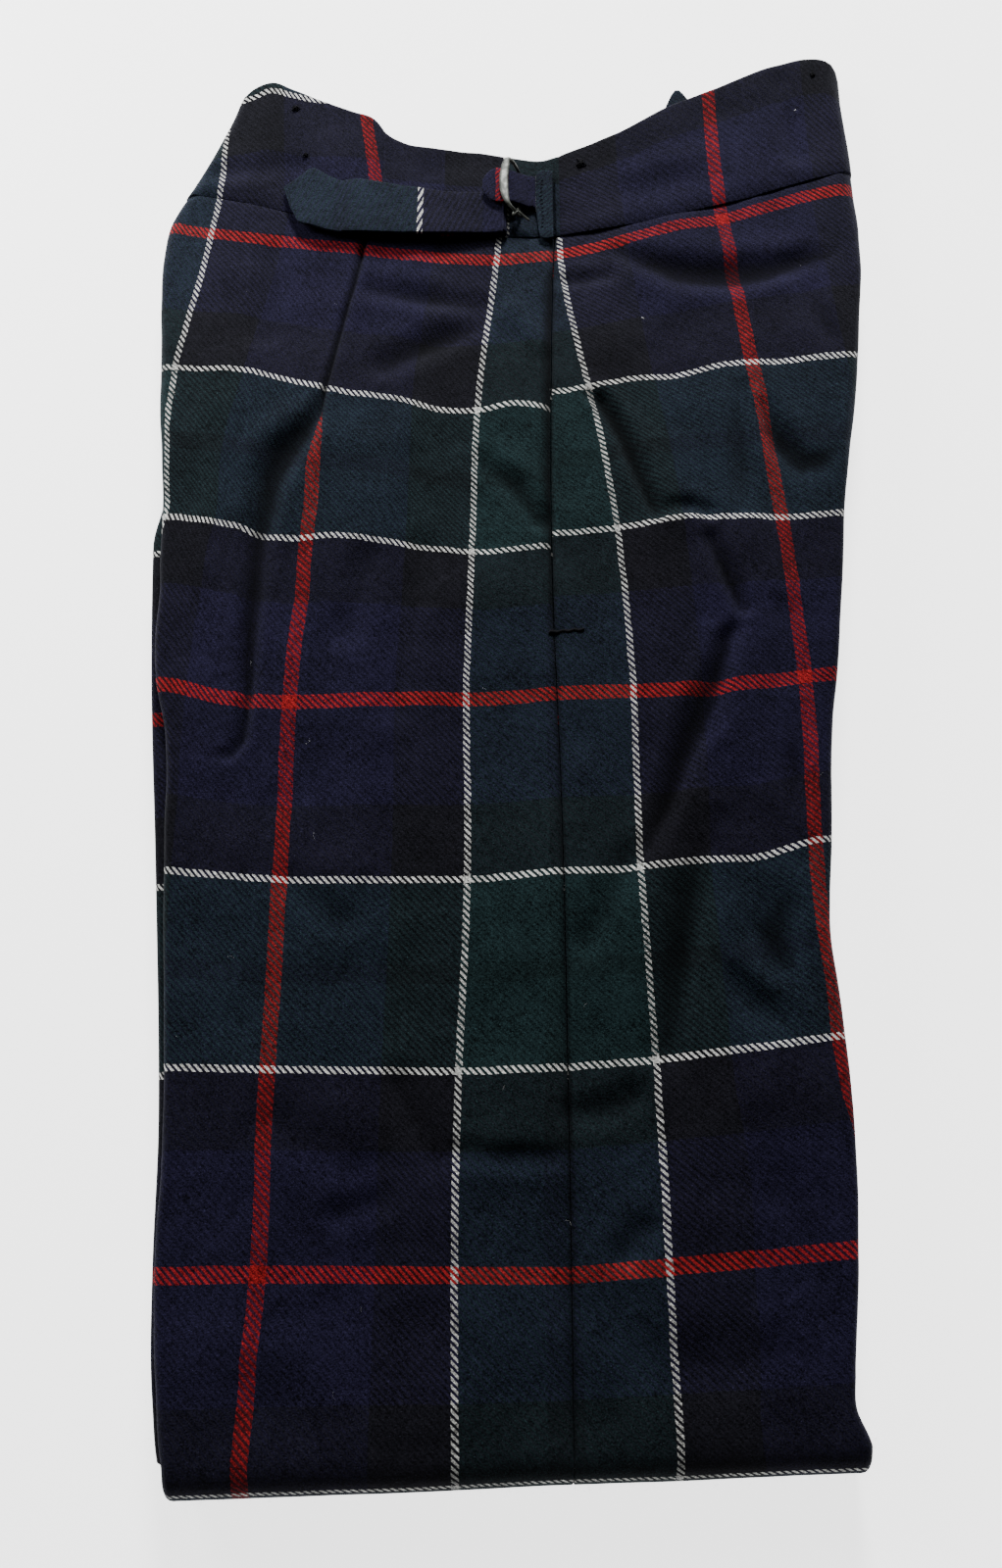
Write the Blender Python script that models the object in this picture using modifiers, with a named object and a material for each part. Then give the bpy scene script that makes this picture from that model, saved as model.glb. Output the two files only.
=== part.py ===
"""Tartan trews, laid side-on on one leg and folded up under themselves at the knee.

The garment lies in the XY plane with the waist towards +Y, the front crease towards +X and the
underside flat on z = 0. The outer side of the near leg is uppermost. Its cloth runs from the waist
down to the fold, round the fold, and back along the underside to the hem. The far leg is folded
up inside it, so a cut across the stack passes near leg, far leg, far leg, near leg.
All sizes below are in millimetres.
"""

import math

import bmesh
import bpy
import numpy as np

MM = 0.001

# Cloth and layers
CLOTH = 1.5  # wall of a leg panel, woollen twill with its nap
BAND_CLOTH = 2.3  # waistband, cloth over canvas
BAND_PROUD = 0.8  # how far the waistband stands above the leg panels
STRAP_CLOTH = 1.4
SEAM_GAP = 0.3
LAYER_GAP = 0.5  # between a wall and the hidden layers beside it
LEG = 7.0  # one leg pressed flat
STACK = 4 * LEG
FOLD_RADIUS = STACK / 2
FOLD_GAP = 0.8  # half the room between the upper and the lower layers of the far leg
TUCK = 20.0  # how far a panel reaches in under its own crease

# Levels and places along the leg, measured at the side seam
SIDE_WAIST = 270.0
BAND_SEAM = 226.0
HIDDEN_END = 257.0  # the mouth of the waist is open beyond this
SEAT_START, SEAT_END = 85.0, 110.0  # where the two legs join into the seat
FAR_LEG_TOP = 84.0
FAR_INSET = 1.5  # the far leg's front crease lies this far inside the near one
NEAR_HEM, FAR_HEM = 154.0, 170.0
REST_START, REST_END = 178.0, 222.0  # where the seat comes down beside the hems
REST_BLOCK = (176.0, 219.0)  # the stretch of the seat that lies on the surface
WAIST_TOP = 14.5  # height of the near waistband's outer face
LIFT_START = 130.0  # above this, rows bend to follow the shaped waist
FOLD_MIDDLE, FOLD_SLOPE = -327.8, 0.0365
BAND_JOIN = -65.5  # the short seam across the back waistband
FAR_BAND_PAST, FAR_FOLD_PAST, FAR_FOLD_AT = 3.0, 17.0, 86.0

OUTLINE = np.array(
    [
        (-320, -131.0, -133.0, 131.0),
        (-310, -133.0, -135.5, 131.0),
        (-297, -134.8, -137.5, 126.0),
        (-286, -136.0, -139.0, 126.6),
        (-252, -138.8, -141.3, 130.2),
        (-200, -139.0, -143.0, 132.8),
        (-160, -141.8, -146.0, 131.6),
        (-120, -145.0, -149.7, 129.2),
        (-78, -147.7, -153.7, 132.8),
        (-36, -150.5, -158.0, 135.8),
        (-12, -156.5, -160.2, 139.8),
        (34, -158.0, -163.4, 145.5),
        (82, -160.5, -165.8, 151.0),
        (118, -165.0, -167.0, 158.0),
        (160, -168.0, -168.0, 164.0),
        (214, -172.0, -172.0, 170.5),
        (230, -170.5, -170.5, 171.5),
        (250, -162.5, -162.5, 171.5),
        (272, -154.0, -154.0, 171.5),
        (305, -142.0, -142.0, 169.5),
    ],
    dtype=[("along", float), ("near_left", float), ("far_left", float), ("near_right", float)],
)
WAIST_EDGE = np.array(
    [
        (-142, 303.0),
        (-134, 314.0),
        (-125, 319.0),
        (-113, 314.0),
        (-100, 308.0),
        (-82, 300.5),
        (-70, 295.0),
        (-64, 286.5),
        (-56, 281.5),
        (-40, 277.5),
        (-20, 275.0),
        (0, 271.5),
        (15, 270.0),
        (28, 275.0),
        (58, 289.5),
        (79, 303.5),
        (100, 313.0),
        (120, 323.0),
        (138, 330.0),
        (152, 333.3),
        (161, 332.0),
        (167, 327.0),
        (171, 318.0),
    ],
    dtype=[("across", float), ("along", float)],
)
BAND_LINE = np.array(
    [
        (-172, 250.0),
        (-145, 245.0),
        (-115, 238.0),
        (-90, 231.0),
        (-60, 226.0),
        (-20, 223.0),
        (20, 223.5),
        (50, 228.5),
        (78, 235.0),
        (102, 241.5),
        (135, 252.0),
        (171, 263.5),
    ],
    dtype=[("across", float), ("along", float)],
)
SIDE_SEAM = np.array(
    [(-320, 20.6), (-180, 20.3), (-60, 19.0), (30, 16.5), (132, 17.0), (211, 19.5), (272, 23.0)],
    dtype=[("along", float), ("across", float)],
)
LOWER_LEG = np.array(
    [(0, -131.0, -133.0, 131.0), (471, -118.0, -121.0, 116.0)],
    dtype=[("from_fold", float), ("near_left", float), ("far_left", float), ("near_right", float)],
)
# The largest creases of the upper leg: a soft trough (or ridge) along a straight run
CREASES = np.array(
    [
        (-73, 216, -88, 134, 8, -1.2),
        (-90, 120, -112, 78, 11, -3.6),
        (-113, 48, -117, -30, 9, -2.8),
        (62, 215, 146, 209, 11, -3.4),
        (36, 126, 62, 72, 8, -3.6),
        (122, 108, 140, 91, 11, -3.4),
        (93, 46, 104, 18, 8, -2.2),
        (92, 12, 64, -72, 9, -3.0),
        (67, -101, 60, -155, 10, -2.8),
        (-20, 166, -60, 146, 10, -2.2),
        (-20, -210, 12, -212, 8, -2.6),
    ],
    dtype=[(name, float) for name in ("x0", "y0", "x1", "y1", "width", "height")],
)

# The adjuster. Heights are above the waistband's face.
STRAP_PLAN = np.array(
    [
        (-114, 247.5, 1.5),
        (-110, 246.0, 10.0),
        (-106, 244.0, 15.5),
        (-100, 241.5, 18.8),
        (-92, 238.0, 18.4),
        (-80, 236.0, 17.4),
        (-56, 233.4, 15.4),
        (-35, 232.9, 13.4),
        (-3, 234.0, 11.6),
    ],
    dtype=[("across", float), ("along", float), ("half_width", float)],
)
STRAP_RUN = np.array(
    [
        (-92, 0.5),
        (-60, 0.4),
        (-30, 0.4),
        (-5.6, 0.4),
        (-4.1, 0.9),
        (-3.5, 2.2),
        (-4.1, 3.5),
        (-5.6, 4.0),
        (-20, 4.1),
        (-36, 6.2),
        (-58, 7.4),
        (-84, 6.2),
        (-94, 5.2),
        (-100, 4.6),
        (-106, 4.0),
        (-110, 3.6),
        (-114, 3.3),
    ],
    dtype=[("across", float), ("height", float)],
)
STRAP_TIP = 7  # rows of STRAP_RUN from here on are the free end, whose lower edge stands off
STRAP_TILT = 0.08
TAB_RUN = np.array(
    [
        (19.4, 2.0, 241.0, 20.5),
        (13.0, 2.0, 241.5, 20.0),
        (10.8, 2.3, 248.0, 10.0),
        (7.0, 3.0, 248.0, 9.4),
        (3.4, 4.7, 248.0, 9.2),
        (-1.5, 6.6, 248.2, 9.4),
        (-7.0, 7.0, 248.4, 10.2),
        (-11.0, 6.9, 248.6, 9.0),
        (-13.8, 6.7, 248.7, 6.2),
        (-15.4, 6.6, 248.8, 3.0),
    ],
    dtype=[("across", float), ("height", float), ("along", float), ("half_width", float)],
)
TAB_CLOTH = 1.7
# The buckle is one ring: a curved plate over the tab, and wire round its other sides
BUCKLE_RING = np.array(
    [
        (-2.8, 262.6, 8.0, 1.3, 0.6),
        (-4.2, 258.0, 8.3, 2.0, 0.55),
        (-4.9, 251.0, 8.4, 2.2, 0.55),
        (-4.7, 243.5, 8.4, 2.1, 0.55),
        (-3.6, 238.0, 8.2, 1.5, 0.6),
        (-2.0, 235.2, 7.4, 0.8, 0.8),
        (0.0, 233.6, 6.0, 0.8, 0.8),
        (1.8, 232.4, 3.8, 0.8, 0.8),
        (2.8, 233.6, 1.9, 0.8, 0.8),
        (2.8, 237.5, 1.3, 0.8, 0.8),
        (2.8, 246.0, 1.3, 0.8, 0.8),
        (2.8, 254.5, 1.3, 0.8, 0.8),
        (2.8, 258.0, 2.0, 0.8, 0.8),
        (2.0, 259.6, 4.0, 0.8, 0.8),
        (-0.4, 261.6, 7.0, 0.8, 0.8),
    ],
    dtype=[(name, float) for name in ("across", "along", "height", "half_width", "half_thick")],
)
PRONG_AT = 6  # the prong's eye goes round the ring between this place and the next
PRONG_POINT = (7.6, 229.0, 3.4)
PRONG_RADIUS, EYE_RADIUS = 0.55, 1.65

BAND_ROWS = (SIDE_WAIST, 266.5, HIDDEN_END, 246.0, 235.0, BAND_SEAM + SEAM_GAP / 2)
SEAT_ROWS = (222.5, 212, 200, 188, 178, 172, 161, 149, 137, 125, 112, 105, 98, 91, 84)
LEG_ROWS = (75, 60, 45, 30, 15, 0, -20, -40, -60, -80, -100, -120, -140, -160, -180, -200, -220)
LEG_ROWS += (-240, -260, -278, -292, -302)
TOP_COLUMNS = 11
TURN_STEPS = 4
FOLD_STEPS = 6
HEM_ROWS = 9  # rows along the underside
HIDDEN_COLUMNS = 7
CREASE_ROOM = 3.8  # the hidden layers lie this much lower under the creases

CLOTH_COLOUR = (0.012, 0.014, 0.026, 1.0)
HIDDEN_COLOUR = (0.010, 0.011, 0.018, 1.0)
STRAP_COLOUR = (0.012, 0.022, 0.022, 1.0)
METAL_COLOUR = (0.55, 0.54, 0.50, 1.0)


def smooth(t):
    t = np.clip(t, 0.0, 1.0)
    return t * t * (3 - 2 * t)


def read(table, column, at, key="along"):
    """A smooth curve through one column of a table, read at any place."""
    x, y = table[key], table[column]
    at = np.clip(at, x[0], x[-1])
    slopes = np.gradient(y, x)
    i = np.clip(np.searchsorted(x, at) - 1, 0, len(x) - 2)
    step = x[i + 1] - x[i]
    t = (at - x[i]) / step
    return (
        y[i] * (1 + 2 * t) * (1 - t) ** 2
        + y[i + 1] * t * t * (3 - 2 * t)
        + step * (slopes[i] * t * (1 - t) ** 2 - slopes[i + 1] * t * t * (1 - t))
    )


def fold_edge(x):
    return FOLD_MIDDLE + FOLD_SLOPE * x


def waist_edge(x):
    return read(WAIST_EDGE, "along", x, key="across")


def band_line(x):
    return read(BAND_LINE, "along", x, key="across")


def place_along(v, x):
    """Where row v of the upper leg lies at x: rows follow the waistband above, and the fold below."""
    seam = band_line(x)
    lift = np.clip((v - LIFT_START) / (BAND_SEAM - LIFT_START), 0, 1) ** 2 * (seam - BAND_SEAM)
    climb = (waist_edge(x) - seam) / (SIDE_WAIST - BAND_SEAM)
    sink = np.clip((-200 - v) / (-200 - (FOLD_MIDDLE + FOLD_RADIUS)), 0, 1)
    return np.minimum(v, BAND_SEAM) + lift + np.maximum(v - BAND_SEAM, 0) * climb + sink * FOLD_SLOPE * x


def top_level(v):
    return STACK - (STACK - WAIST_TOP) * smooth((v - 100) / 170)


def under_level(v):
    """The lowest level of the cloth that turns in under the near leg's creases."""
    upper_leg = STACK - LEG
    beside_far_leg = STACK / 2 + SEAM_GAP
    level = upper_leg - (upper_leg - beside_far_leg) * smooth((v - SEAT_START) / (SEAT_END - SEAT_START))
    return level - beside_far_leg * smooth((v - REST_START) / (REST_END - REST_START))


def crease_height(x, y):
    height = 0.0
    for crease in CREASES:
        run = np.array([crease["x1"] - crease["x0"], crease["y1"] - crease["y0"]])
        length = np.hypot(*run)
        dx, dy = x - crease["x0"], y - crease["y0"]
        along = (dx * run[0] + dy * run[1]) / length
        beside = (dx * run[1] - dy * run[0]) / length
        past = np.maximum(np.maximum(-along, along - length), 0)
        height += crease["height"] * math.exp(-((beside**2 + past**2) / crease["width"] ** 2))
    return height


def row_edges(v):
    """The left and right crease of row v. The row climbs to the waist, so the outline is read there."""
    left = read(OUTLINE, "near_left", place_along(v, WAIST_EDGE["across"][0]))
    right = read(OUTLINE, "near_right", place_along(v, WAIST_EDGE["across"][-1]))
    return float(left), float(right)


class Row:
    """One row across a leg: its creases, its seam and how a point (x, depth) is placed."""

    def __init__(self, kind, at):
        self.kind, self.at = kind, at
        if kind == "top":
            self.left, self.right = row_edges(at)
            self.far_left = float(read(OUTLINE, "far_left", at))
            self.seam = float(read(SIDE_SEAM, "across", at))
            self.radius = float(top_level(at) - under_level(at)) / 2
        else:
            from_fold = at if kind == "under" else 0.0
            names = ("near_left", "near_right", "far_left")
            values = [float(read(LOWER_LEG, name, from_fold, key="from_fold")) for name in names]
            self.left, self.right, self.far_left = values
            self.seam = float(SIDE_SEAM["across"][0])
            self.radius = LEG / 2
        self.outer_radius = self.radius

    def place(self, x, depth, creased=0.0):
        """depth is 0 on the outer face of the near leg and negative inside."""
        axis = fold_edge(x) + FOLD_RADIUS
        if self.kind == "top":
            y = float(place_along(self.at, x))
            z = float(top_level(self.at)) + depth
            if creased:
                inside = min(x - self.left, self.right - x)
                z += creased * crease_height(x, y) * smooth((inside - 20) / 14)
            return x, y, z
        if self.kind == "fold":
            reach = FOLD_RADIUS + depth
            return x, axis - reach * math.sin(self.at), FOLD_RADIUS + reach * math.cos(self.at)
        return x, axis + self.at, -depth


def leg_rows(start):
    """Rows of a leg panel from start, over the fold and along the underside to the hem."""
    axis = FOLD_MIDDLE + FOLD_RADIUS
    rows = [Row("top", start)] + [Row("top", v) for v in (*SEAT_ROWS, *LEG_ROWS, axis) if v < start - 2]
    rows += [Row("fold", math.pi * i / FOLD_STEPS) for i in range(1, FOLD_STEPS + 1)]
    hem = NEAR_HEM - axis
    return rows + [Row("under", hem * i / HEM_ROWS) for i in range(1, HEM_ROWS + 1)]


def crease_profile(row, side, inner, outer=0.0):
    """(x, depth) from the last flat column, round the crease and in under it. inner is the tuck's end."""
    edge = row.left if side < 0 else row.right
    bottom = -2 * row.radius
    radius = (outer - bottom) / 2
    centre = edge - side * radius
    points = []
    for i in range(TURN_STEPS + 1):
        angle = math.pi * i / TURN_STEPS
        points.append((centre + side * radius * math.sin(angle), outer - radius + radius * math.cos(angle)))
    points.append((centre - side * inner, bottom))
    return points


def sheet_object(name, lines, material, collection, thickness):
    """An open sheet through rows of points, thickened away from its face by Solidify."""
    mesh = bmesh.new()
    rows = [[mesh.verts.new([c * MM for c in point]) for point in line] for line in lines]
    for row, following in zip(rows, rows[1:]):
        for i in range(len(row) - 1):
            mesh.faces.new((row[i], row[i + 1], following[i + 1], following[i]))
    sheet = finish_mesh(name, mesh, material, collection)
    solid = sheet.modifiers.new("wall", "SOLIDIFY")
    solid.thickness = thickness * MM
    solid.offset = -1.0
    solid.use_even_offset = True
    sheet.data.shade_smooth()
    return sheet


def leg_panel(name, side, material, collection):
    """One long panel of the near leg, from the side seam round its crease. side is -1 back, 1 front."""
    lines = []
    for row in leg_rows(BAND_SEAM - SEAM_GAP / 2):
        start = row.seam + side * SEAM_GAP / 2
        profile = crease_profile(row, side, TUCK)
        flat = np.linspace(start, profile[0][0], TOP_COLUMNS + 1)[:-1]
        line = [row.place(float(x), 0.0, creased=1.0) for x in flat]
        line += [row.place(x, depth) for x, depth in profile]
        lines.append(line if side < 0 else line[::-1])
    return sheet_object(name, lines, material, collection, CLOTH)


def waistband(name, side, start, end, columns, material, collection):
    """A near waistband piece between two places across, or from start round the crease that side names."""
    lines = []
    for v in BAND_ROWS:
        row = Row("top", v)
        rounded = 0.6 if v == SIDE_WAIST else 0.0
        turn = crease_profile(row, side, TUCK, BAND_PROUD) if side else []
        stop = turn[0][0] if side else end
        flat = np.linspace(start, stop, columns + 1)
        flat = flat[:-1] if side else flat
        line = [row.place(float(x), BAND_PROUD - rounded) for x in flat]
        line += [row.place(x, depth) for x, depth in turn]
        lines.append(line if line[0][0] > line[1][0] else line[::-1])
    return sheet_object(name, lines, material, collection, BAND_CLOTH)


def far_waistband(material, collection):
    """The far side of the waist, flat on the surface. One fold of it shows past the near edge."""
    lines = []
    for v in BAND_ROWS:
        row = Row("top", v)
        reach = row.radius + BAND_PROUD / 2 + TUCK + 6
        line = []
        for x in np.linspace(row.right - reach, row.left + reach, 34):
            x, y, _ = row.place(float(x), 0.0)
            past = float(smooth((v - 242) / 28))
            y += past * (FAR_BAND_PAST + FAR_FOLD_PAST * math.exp(-(((x - FAR_FOLD_AT) / 7) ** 2)))
            line.append((x, y, BAND_CLOTH))
        lines.append(line)
    return sheet_object("far_waistband", lines, material, collection, BAND_CLOTH)


def finish_mesh(name, mesh, material, collection):
    data = bpy.data.meshes.new(name)
    mesh.to_mesh(data)
    mesh.free()
    made = bpy.data.objects.new(name, data)
    collection.objects.link(made)
    data.materials.append(material)
    return made


def half_round(centre, side, radius, middle):
    """The points of a layer's rounded edge, between its upper and its lower side."""
    angles = [math.pi * i / TURN_STEPS for i in range(1, TURN_STEPS)]
    return [(centre + side * radius * math.sin(a), middle + radius * math.cos(a)) for a in angles]


class HiddenSection:
    """A cut across the hidden cloth of one row: the near leg's layer, then the far leg's.

    Each is a list of (x, depth). The near list runs over its top and back in under both of its edges, and the
    far list runs on from there round the far layer's edges and its lower side.
    """

    def __init__(self, row, near, far, room, far_edges):
        near_top, near_bottom = near
        far_top, far_bottom = far
        radius, middle = (near_top - near_bottom) / 2, (near_top + near_bottom) / 2
        past_tuck = row.outer_radius + TUCK + 1.2
        left, right = row.left + row.outer_radius, row.right - row.outer_radius
        inner_left, inner_right = row.left + past_tuck, row.right - past_tuck
        shoulder = max(near_top - room, near_bottom + 0.8)
        across = np.linspace(inner_left + 8, inner_right - 8, HIDDEN_COLUMNS)
        self.over = [(left, near_top), (inner_left, shoulder)]
        self.over += [(float(x), near_top - room) for x in across]
        self.over += [(inner_right, shoulder), (right, near_top)]
        self.near_ends = []
        self.far_ends = []
        for side, edge, inner in ((1, right, inner_right), (-1, left, inner_left)):
            turn = half_round(edge, side, radius, middle)
            between = (near_bottom + far_top) / 2
            self.near_ends.append([*turn, (edge, near_bottom), (inner, near_bottom), (inner, between)])
            if far_edges:
                far_radius, far_middle = (far_top - far_bottom) / 2, (far_top + far_bottom) / 2
                far_edge = far_edges[0] - far_radius if side > 0 else far_edges[1] + far_radius
                turn = half_round(far_edge, side, far_radius, far_middle)
                self.far_ends.append([(inner, far_top), (far_edge, far_top), *turn, (far_edge, far_bottom)])
            else:
                wall = np.linspace(far_top, far_bottom, TURN_STEPS + 2)
                self.far_ends.append([(inner, float(depth)) for depth in wall])
        self.beneath = [(float(x), far_bottom) for x in across[::-1]]
        self.row = row

    def rings(self, far_row):
        """The points in order, as the near layer's and the far layer's."""
        near = [*self.over, *self.near_ends[0]], self.near_ends[1][::-1]
        far = self.far_ends[0] + self.beneath + self.far_ends[1][::-1]
        place, place_far = self.row.place, far_row.place
        start = [place(x, depth) for x, depth in near[0]]
        end = [place(x, depth) for x, depth in near[1]]
        return start, [place_far(x, depth) for x, depth in far], end


def hidden_sections():
    """From the mouth of the waist, down the upper leg, round the fold and back to the hems."""
    inset, band_inset = CLOTH + LAYER_GAP, BAND_CLOTH + LAYER_GAP
    over_band = BAND_CLOTH + LAYER_GAP
    under_seat = STACK / 2 + FOLD_GAP
    resting = [(v, 0.0) for v in SEAT_ROWS if REST_BLOCK[0] < v < REST_BLOCK[1]]
    steps = [(REST_BLOCK[1] + 0.1, over_band), (REST_BLOCK[1], 0.0), *resting]
    steps += [(REST_BLOCK[0], 0.0), (REST_BLOCK[0] - 0.1, under_seat)]
    steps += [(v, under_seat) for v in SEAT_ROWS if FAR_LEG_TOP + 1 < v < REST_BLOCK[0] - 0.5]
    steps += [(FAR_LEG_TOP + 1, under_seat)]
    for v, bottom in [(v, over_band) for v in BAND_ROWS[2:]] + steps:
        row = Row("top", float(v))
        in_band = v > REST_BLOCK[1] - 5
        row.outer_radius = row.radius + (BAND_PROUD / 2 if v > BAND_SEAM else 0)
        wall = band_inset if in_band else inset
        near = (BAND_PROUD * (v > BAND_SEAM) - wall, -2 * row.radius + wall)
        far_bottom = bottom - float(top_level(v))
        middle = (near[1] * 2 + far_bottom) / 3
        room = 0.4 if v > BAND_SEAM else CREASE_ROOM
        yield HiddenSection(row, near, (middle, far_bottom), room, None).rings(row)
    axis = FOLD_MIDDLE + FOLD_RADIUS
    for row in leg_rows(FAR_LEG_TOP):
        near = (-inset, -2 * row.radius + inset)
        far = (-LEG - LAYER_GAP, -2 * LEG + FOLD_GAP)
        turned = {"top": 0.0, "fold": row.at / math.pi, "under": 1.0}[row.kind]
        far_row = row
        if row.kind == "under":
            row = Row("under", row.at * (NEAR_HEM - 1.5 - axis) / (NEAR_HEM - axis))
            far_row = Row("under", row.at * (FAR_HEM - axis) / (NEAR_HEM - 1.5 - axis))
        edges = (row.right - FAR_INSET, row.far_left)
        yield HiddenSection(row, near, far, CREASE_ROOM - (CREASE_ROOM - 0.3) * turned, edges).rings(far_row)


def mouth_faces(first, last, count):
    """The upper end's faces, cut at each column so that they follow the dip of the waist."""
    wall = TURN_STEPS + 2
    lowest = first + wall + HIDDEN_COLUMNS - 1  # the point beneath the first column
    faces = [list(range(HIDDEN_COLUMNS + 2, first))]
    faces.append([HIDDEN_COLUMNS + 1, HIDDEN_COLUMNS + 2, *range(first - 1, first + wall + 1)])
    faces += [[i + 2, i + 3, lowest - i - 1, lowest - i] for i in range(HIDDEN_COLUMNS - 1)]
    faces.append([1, 2, *range(lowest, last + 1)])
    faces.append([0, 1, *range(last, count)])
    return faces


def hidden_layers(material, collection):
    """The cloth inside the near panels as one solid, with each layer's edge shown."""
    mesh = bmesh.new()
    rings, marks = [], []
    for start, far, end in hidden_sections():
        points = start + far + end
        rings.append([mesh.verts.new([c * MM for c in point]) for point in points])
        marks.append((len(start), len(start) + len(far)))
    count = len(rings[0])
    for ring, following in zip(rings, rings[1:]):
        for i in range(count):
            j = (i + 1) % count
            mesh.faces.new((ring[i], ring[j], following[j], following[i]))
    for face in mouth_faces(*marks[0], count):
        mesh.faces.new([rings[0][i] for i in face])
    hem, (first, last) = rings[-1], marks[-1]
    mesh.faces.new(hem[:first] + hem[last:])
    mesh.faces.new((hem[first - 1], hem[first], hem[last - 1], hem[last]))
    mesh.faces.new(hem[first:last])
    bmesh.ops.triangulate(mesh, faces=[face for face in mesh.faces if len(face.verts) > 4])
    bmesh.ops.recalc_face_normals(mesh, faces=mesh.faces)
    return finish_mesh("hidden_layers", mesh, material, collection)


def row_at(x, y):
    """The row of the waistband that passes through (x, y)."""
    seam = float(band_line(x))
    return BAND_SEAM + (y - seam) * (SIDE_WAIST - BAND_SEAM) / (float(waist_edge(x)) - seam)


def band_face(x, y):
    return float(top_level(row_at(x, y))) + BAND_PROUD


def ribbon(name, run, thickness, material, collection):
    """A strip of doubled cloth. run holds (across, height, along, half width, tilt) along its upper side."""
    lines = []
    for x, height, y, half_width, tilt in run:
        line = []
        for share in (-1, -0.5, 0, 0.5, 1):
            at = y + share * half_width
            line.append((x, at, band_face(x, at) + height - tilt * share * half_width))
        lines.append(line)
    return sheet_object(name, lines, material, collection, thickness)


def adjuster_strap(material, collection):
    """Sewn to the band at its root, it runs to the buckle, turns and comes back as the free pointed end."""
    run = []
    for i, (x, height) in enumerate(STRAP_RUN):
        along = float(read(STRAP_PLAN, "along", x, key="across"))
        half_width = float(read(STRAP_PLAN, "half_width", x, key="across"))
        if i < STRAP_TIP:
            half_width = float(STRAP_PLAN["half_width"][-1]) - 0.5
        free = smooth((STRAP_RUN["across"][STRAP_TIP] - x) / 30) if i >= STRAP_TIP else 0.0
        run.append((x, height, along, half_width, STRAP_TILT * float(free)))
    return ribbon("adjuster_strap", run, STRAP_CLOTH, material, collection)


def buckle_tab(material, collection):
    run = [(r["across"], r["height"], r["along"], r["half_width"], 0.0) for r in TAB_RUN]
    return ribbon("buckle_tab", run, TAB_CLOTH, material, collection)


def ring_centres():
    return np.array([(r["across"], r["along"], band_face(r["across"], r["along"]) + r["height"]) for r in BUCKLE_RING])


def buckle_ring(material, collection):
    """A closed ring lofted through flat and round sections."""
    centres = ring_centres()
    count, around = len(centres), 8
    mesh = bmesh.new()
    loops = []
    for i in range(count):
        tangent = centres[(i + 1) % count] - centres[i - 1]
        tangent /= np.linalg.norm(tangent)
        beside = np.cross(tangent, (0.0, 0.0, 1.0))
        beside /= np.linalg.norm(beside)
        up = np.cross(beside, tangent)
        wide, thick = BUCKLE_RING["half_width"][i], BUCKLE_RING["half_thick"][i]
        loop = []
        for j in range(around):
            angle = 2 * math.pi * (j + 0.5) / around
            point = centres[i] + wide * math.cos(angle) * beside + thick * math.sin(angle) * up
            loop.append(mesh.verts.new(point * MM))
        loops.append(loop)
    for i in range(count):
        loop, following = loops[i], loops[(i + 1) % count]
        for j in range(around):
            k = (j + 1) % around
            mesh.faces.new((loop[j], loop[k], following[k], following[j]))
    bmesh.ops.recalc_face_normals(mesh, faces=mesh.faces)
    ring = finish_mesh("buckle_frame", mesh, material, collection)
    ring.data.shade_smooth()
    return ring


def buckle_prong(material, collection):
    """A thin pin bent round the ring's lower corner, lying out over the strap's turn."""
    before, after = ring_centres()[PRONG_AT : PRONG_AT + 2]
    eye, wire = (before + after) / 2, (after - before) / np.linalg.norm(after - before)
    point = np.array(PRONG_POINT)
    point[2] += band_face(point[0], point[1])
    aim = point - eye
    aim -= wire * (aim @ wire)
    aim /= np.linalg.norm(aim)
    up = np.cross(wire, aim)
    path = []
    for angle in np.linspace(285, 0, 10):
        a = math.radians(angle)
        path.append(eye + EYE_RADIUS * (math.cos(a) * aim + math.sin(a) * up))
    path.append(point)
    curve = bpy.data.curves.new("buckle_prong", "CURVE")
    curve.dimensions = "3D"
    curve.bevel_depth = PRONG_RADIUS * MM
    curve.bevel_resolution = 1
    curve.use_fill_caps = True
    spline = curve.splines.new("POLY")
    spline.points.add(len(path) - 1)
    for made, place in zip(spline.points, path):
        made.co = (*(place * MM), 1.0)
    prong = bpy.data.objects.new("buckle_prong", curve)
    collection.objects.link(prong)
    curve.materials.append(material)
    return prong


def finish(name, colour, roughness, metallic=0.0):
    material = bpy.data.materials.new(name)
    material.use_nodes = True
    shader = material.node_tree.nodes["Principled BSDF"]
    shader.inputs["Base Color"].default_value = colour
    shader.inputs["Roughness"].default_value = roughness
    shader.inputs["Metallic"].default_value = metallic
    return material


def collection_named(name):
    made = bpy.data.collections.new(name)
    bpy.context.scene.collection.children.link(made)
    return made


def main():
    for item in list(bpy.data.objects):
        bpy.data.objects.remove(item, do_unlink=True)
    trews = collection_named("tartan trews")
    cloth = finish("tartan", CLOTH_COLOUR, 0.95)
    hidden = finish("hidden cloth", HIDDEN_COLOUR, 0.95)
    strap_cloth = finish("strap cloth", STRAP_COLOUR, 0.95)
    metal = finish("buckle metal", METAL_COLOUR, 0.35, 1.0)

    leg_panel("back_leg_panel", -1, cloth, trews)
    leg_panel("front_leg_panel", 1, cloth, trews)
    hidden_layers(hidden, trews)

    side = float(read(SIDE_SEAM, "across", SIDE_WAIST))
    half = SEAM_GAP / 2
    waistband("back_waistband", -1, BAND_JOIN - half, None, 6, cloth, trews)
    waistband("back_waistband_side", 0, BAND_JOIN + half, side - half, 7, cloth, trews)
    waistband("front_waistband", 1, side + half, None, 10, cloth, trews)
    far_waistband(cloth, trews)

    adjuster_strap(strap_cloth, trews)
    buckle_tab(strap_cloth, trews)
    buckle_ring(metal, trews)
    buckle_prong(metal, trews)


main()
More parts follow.
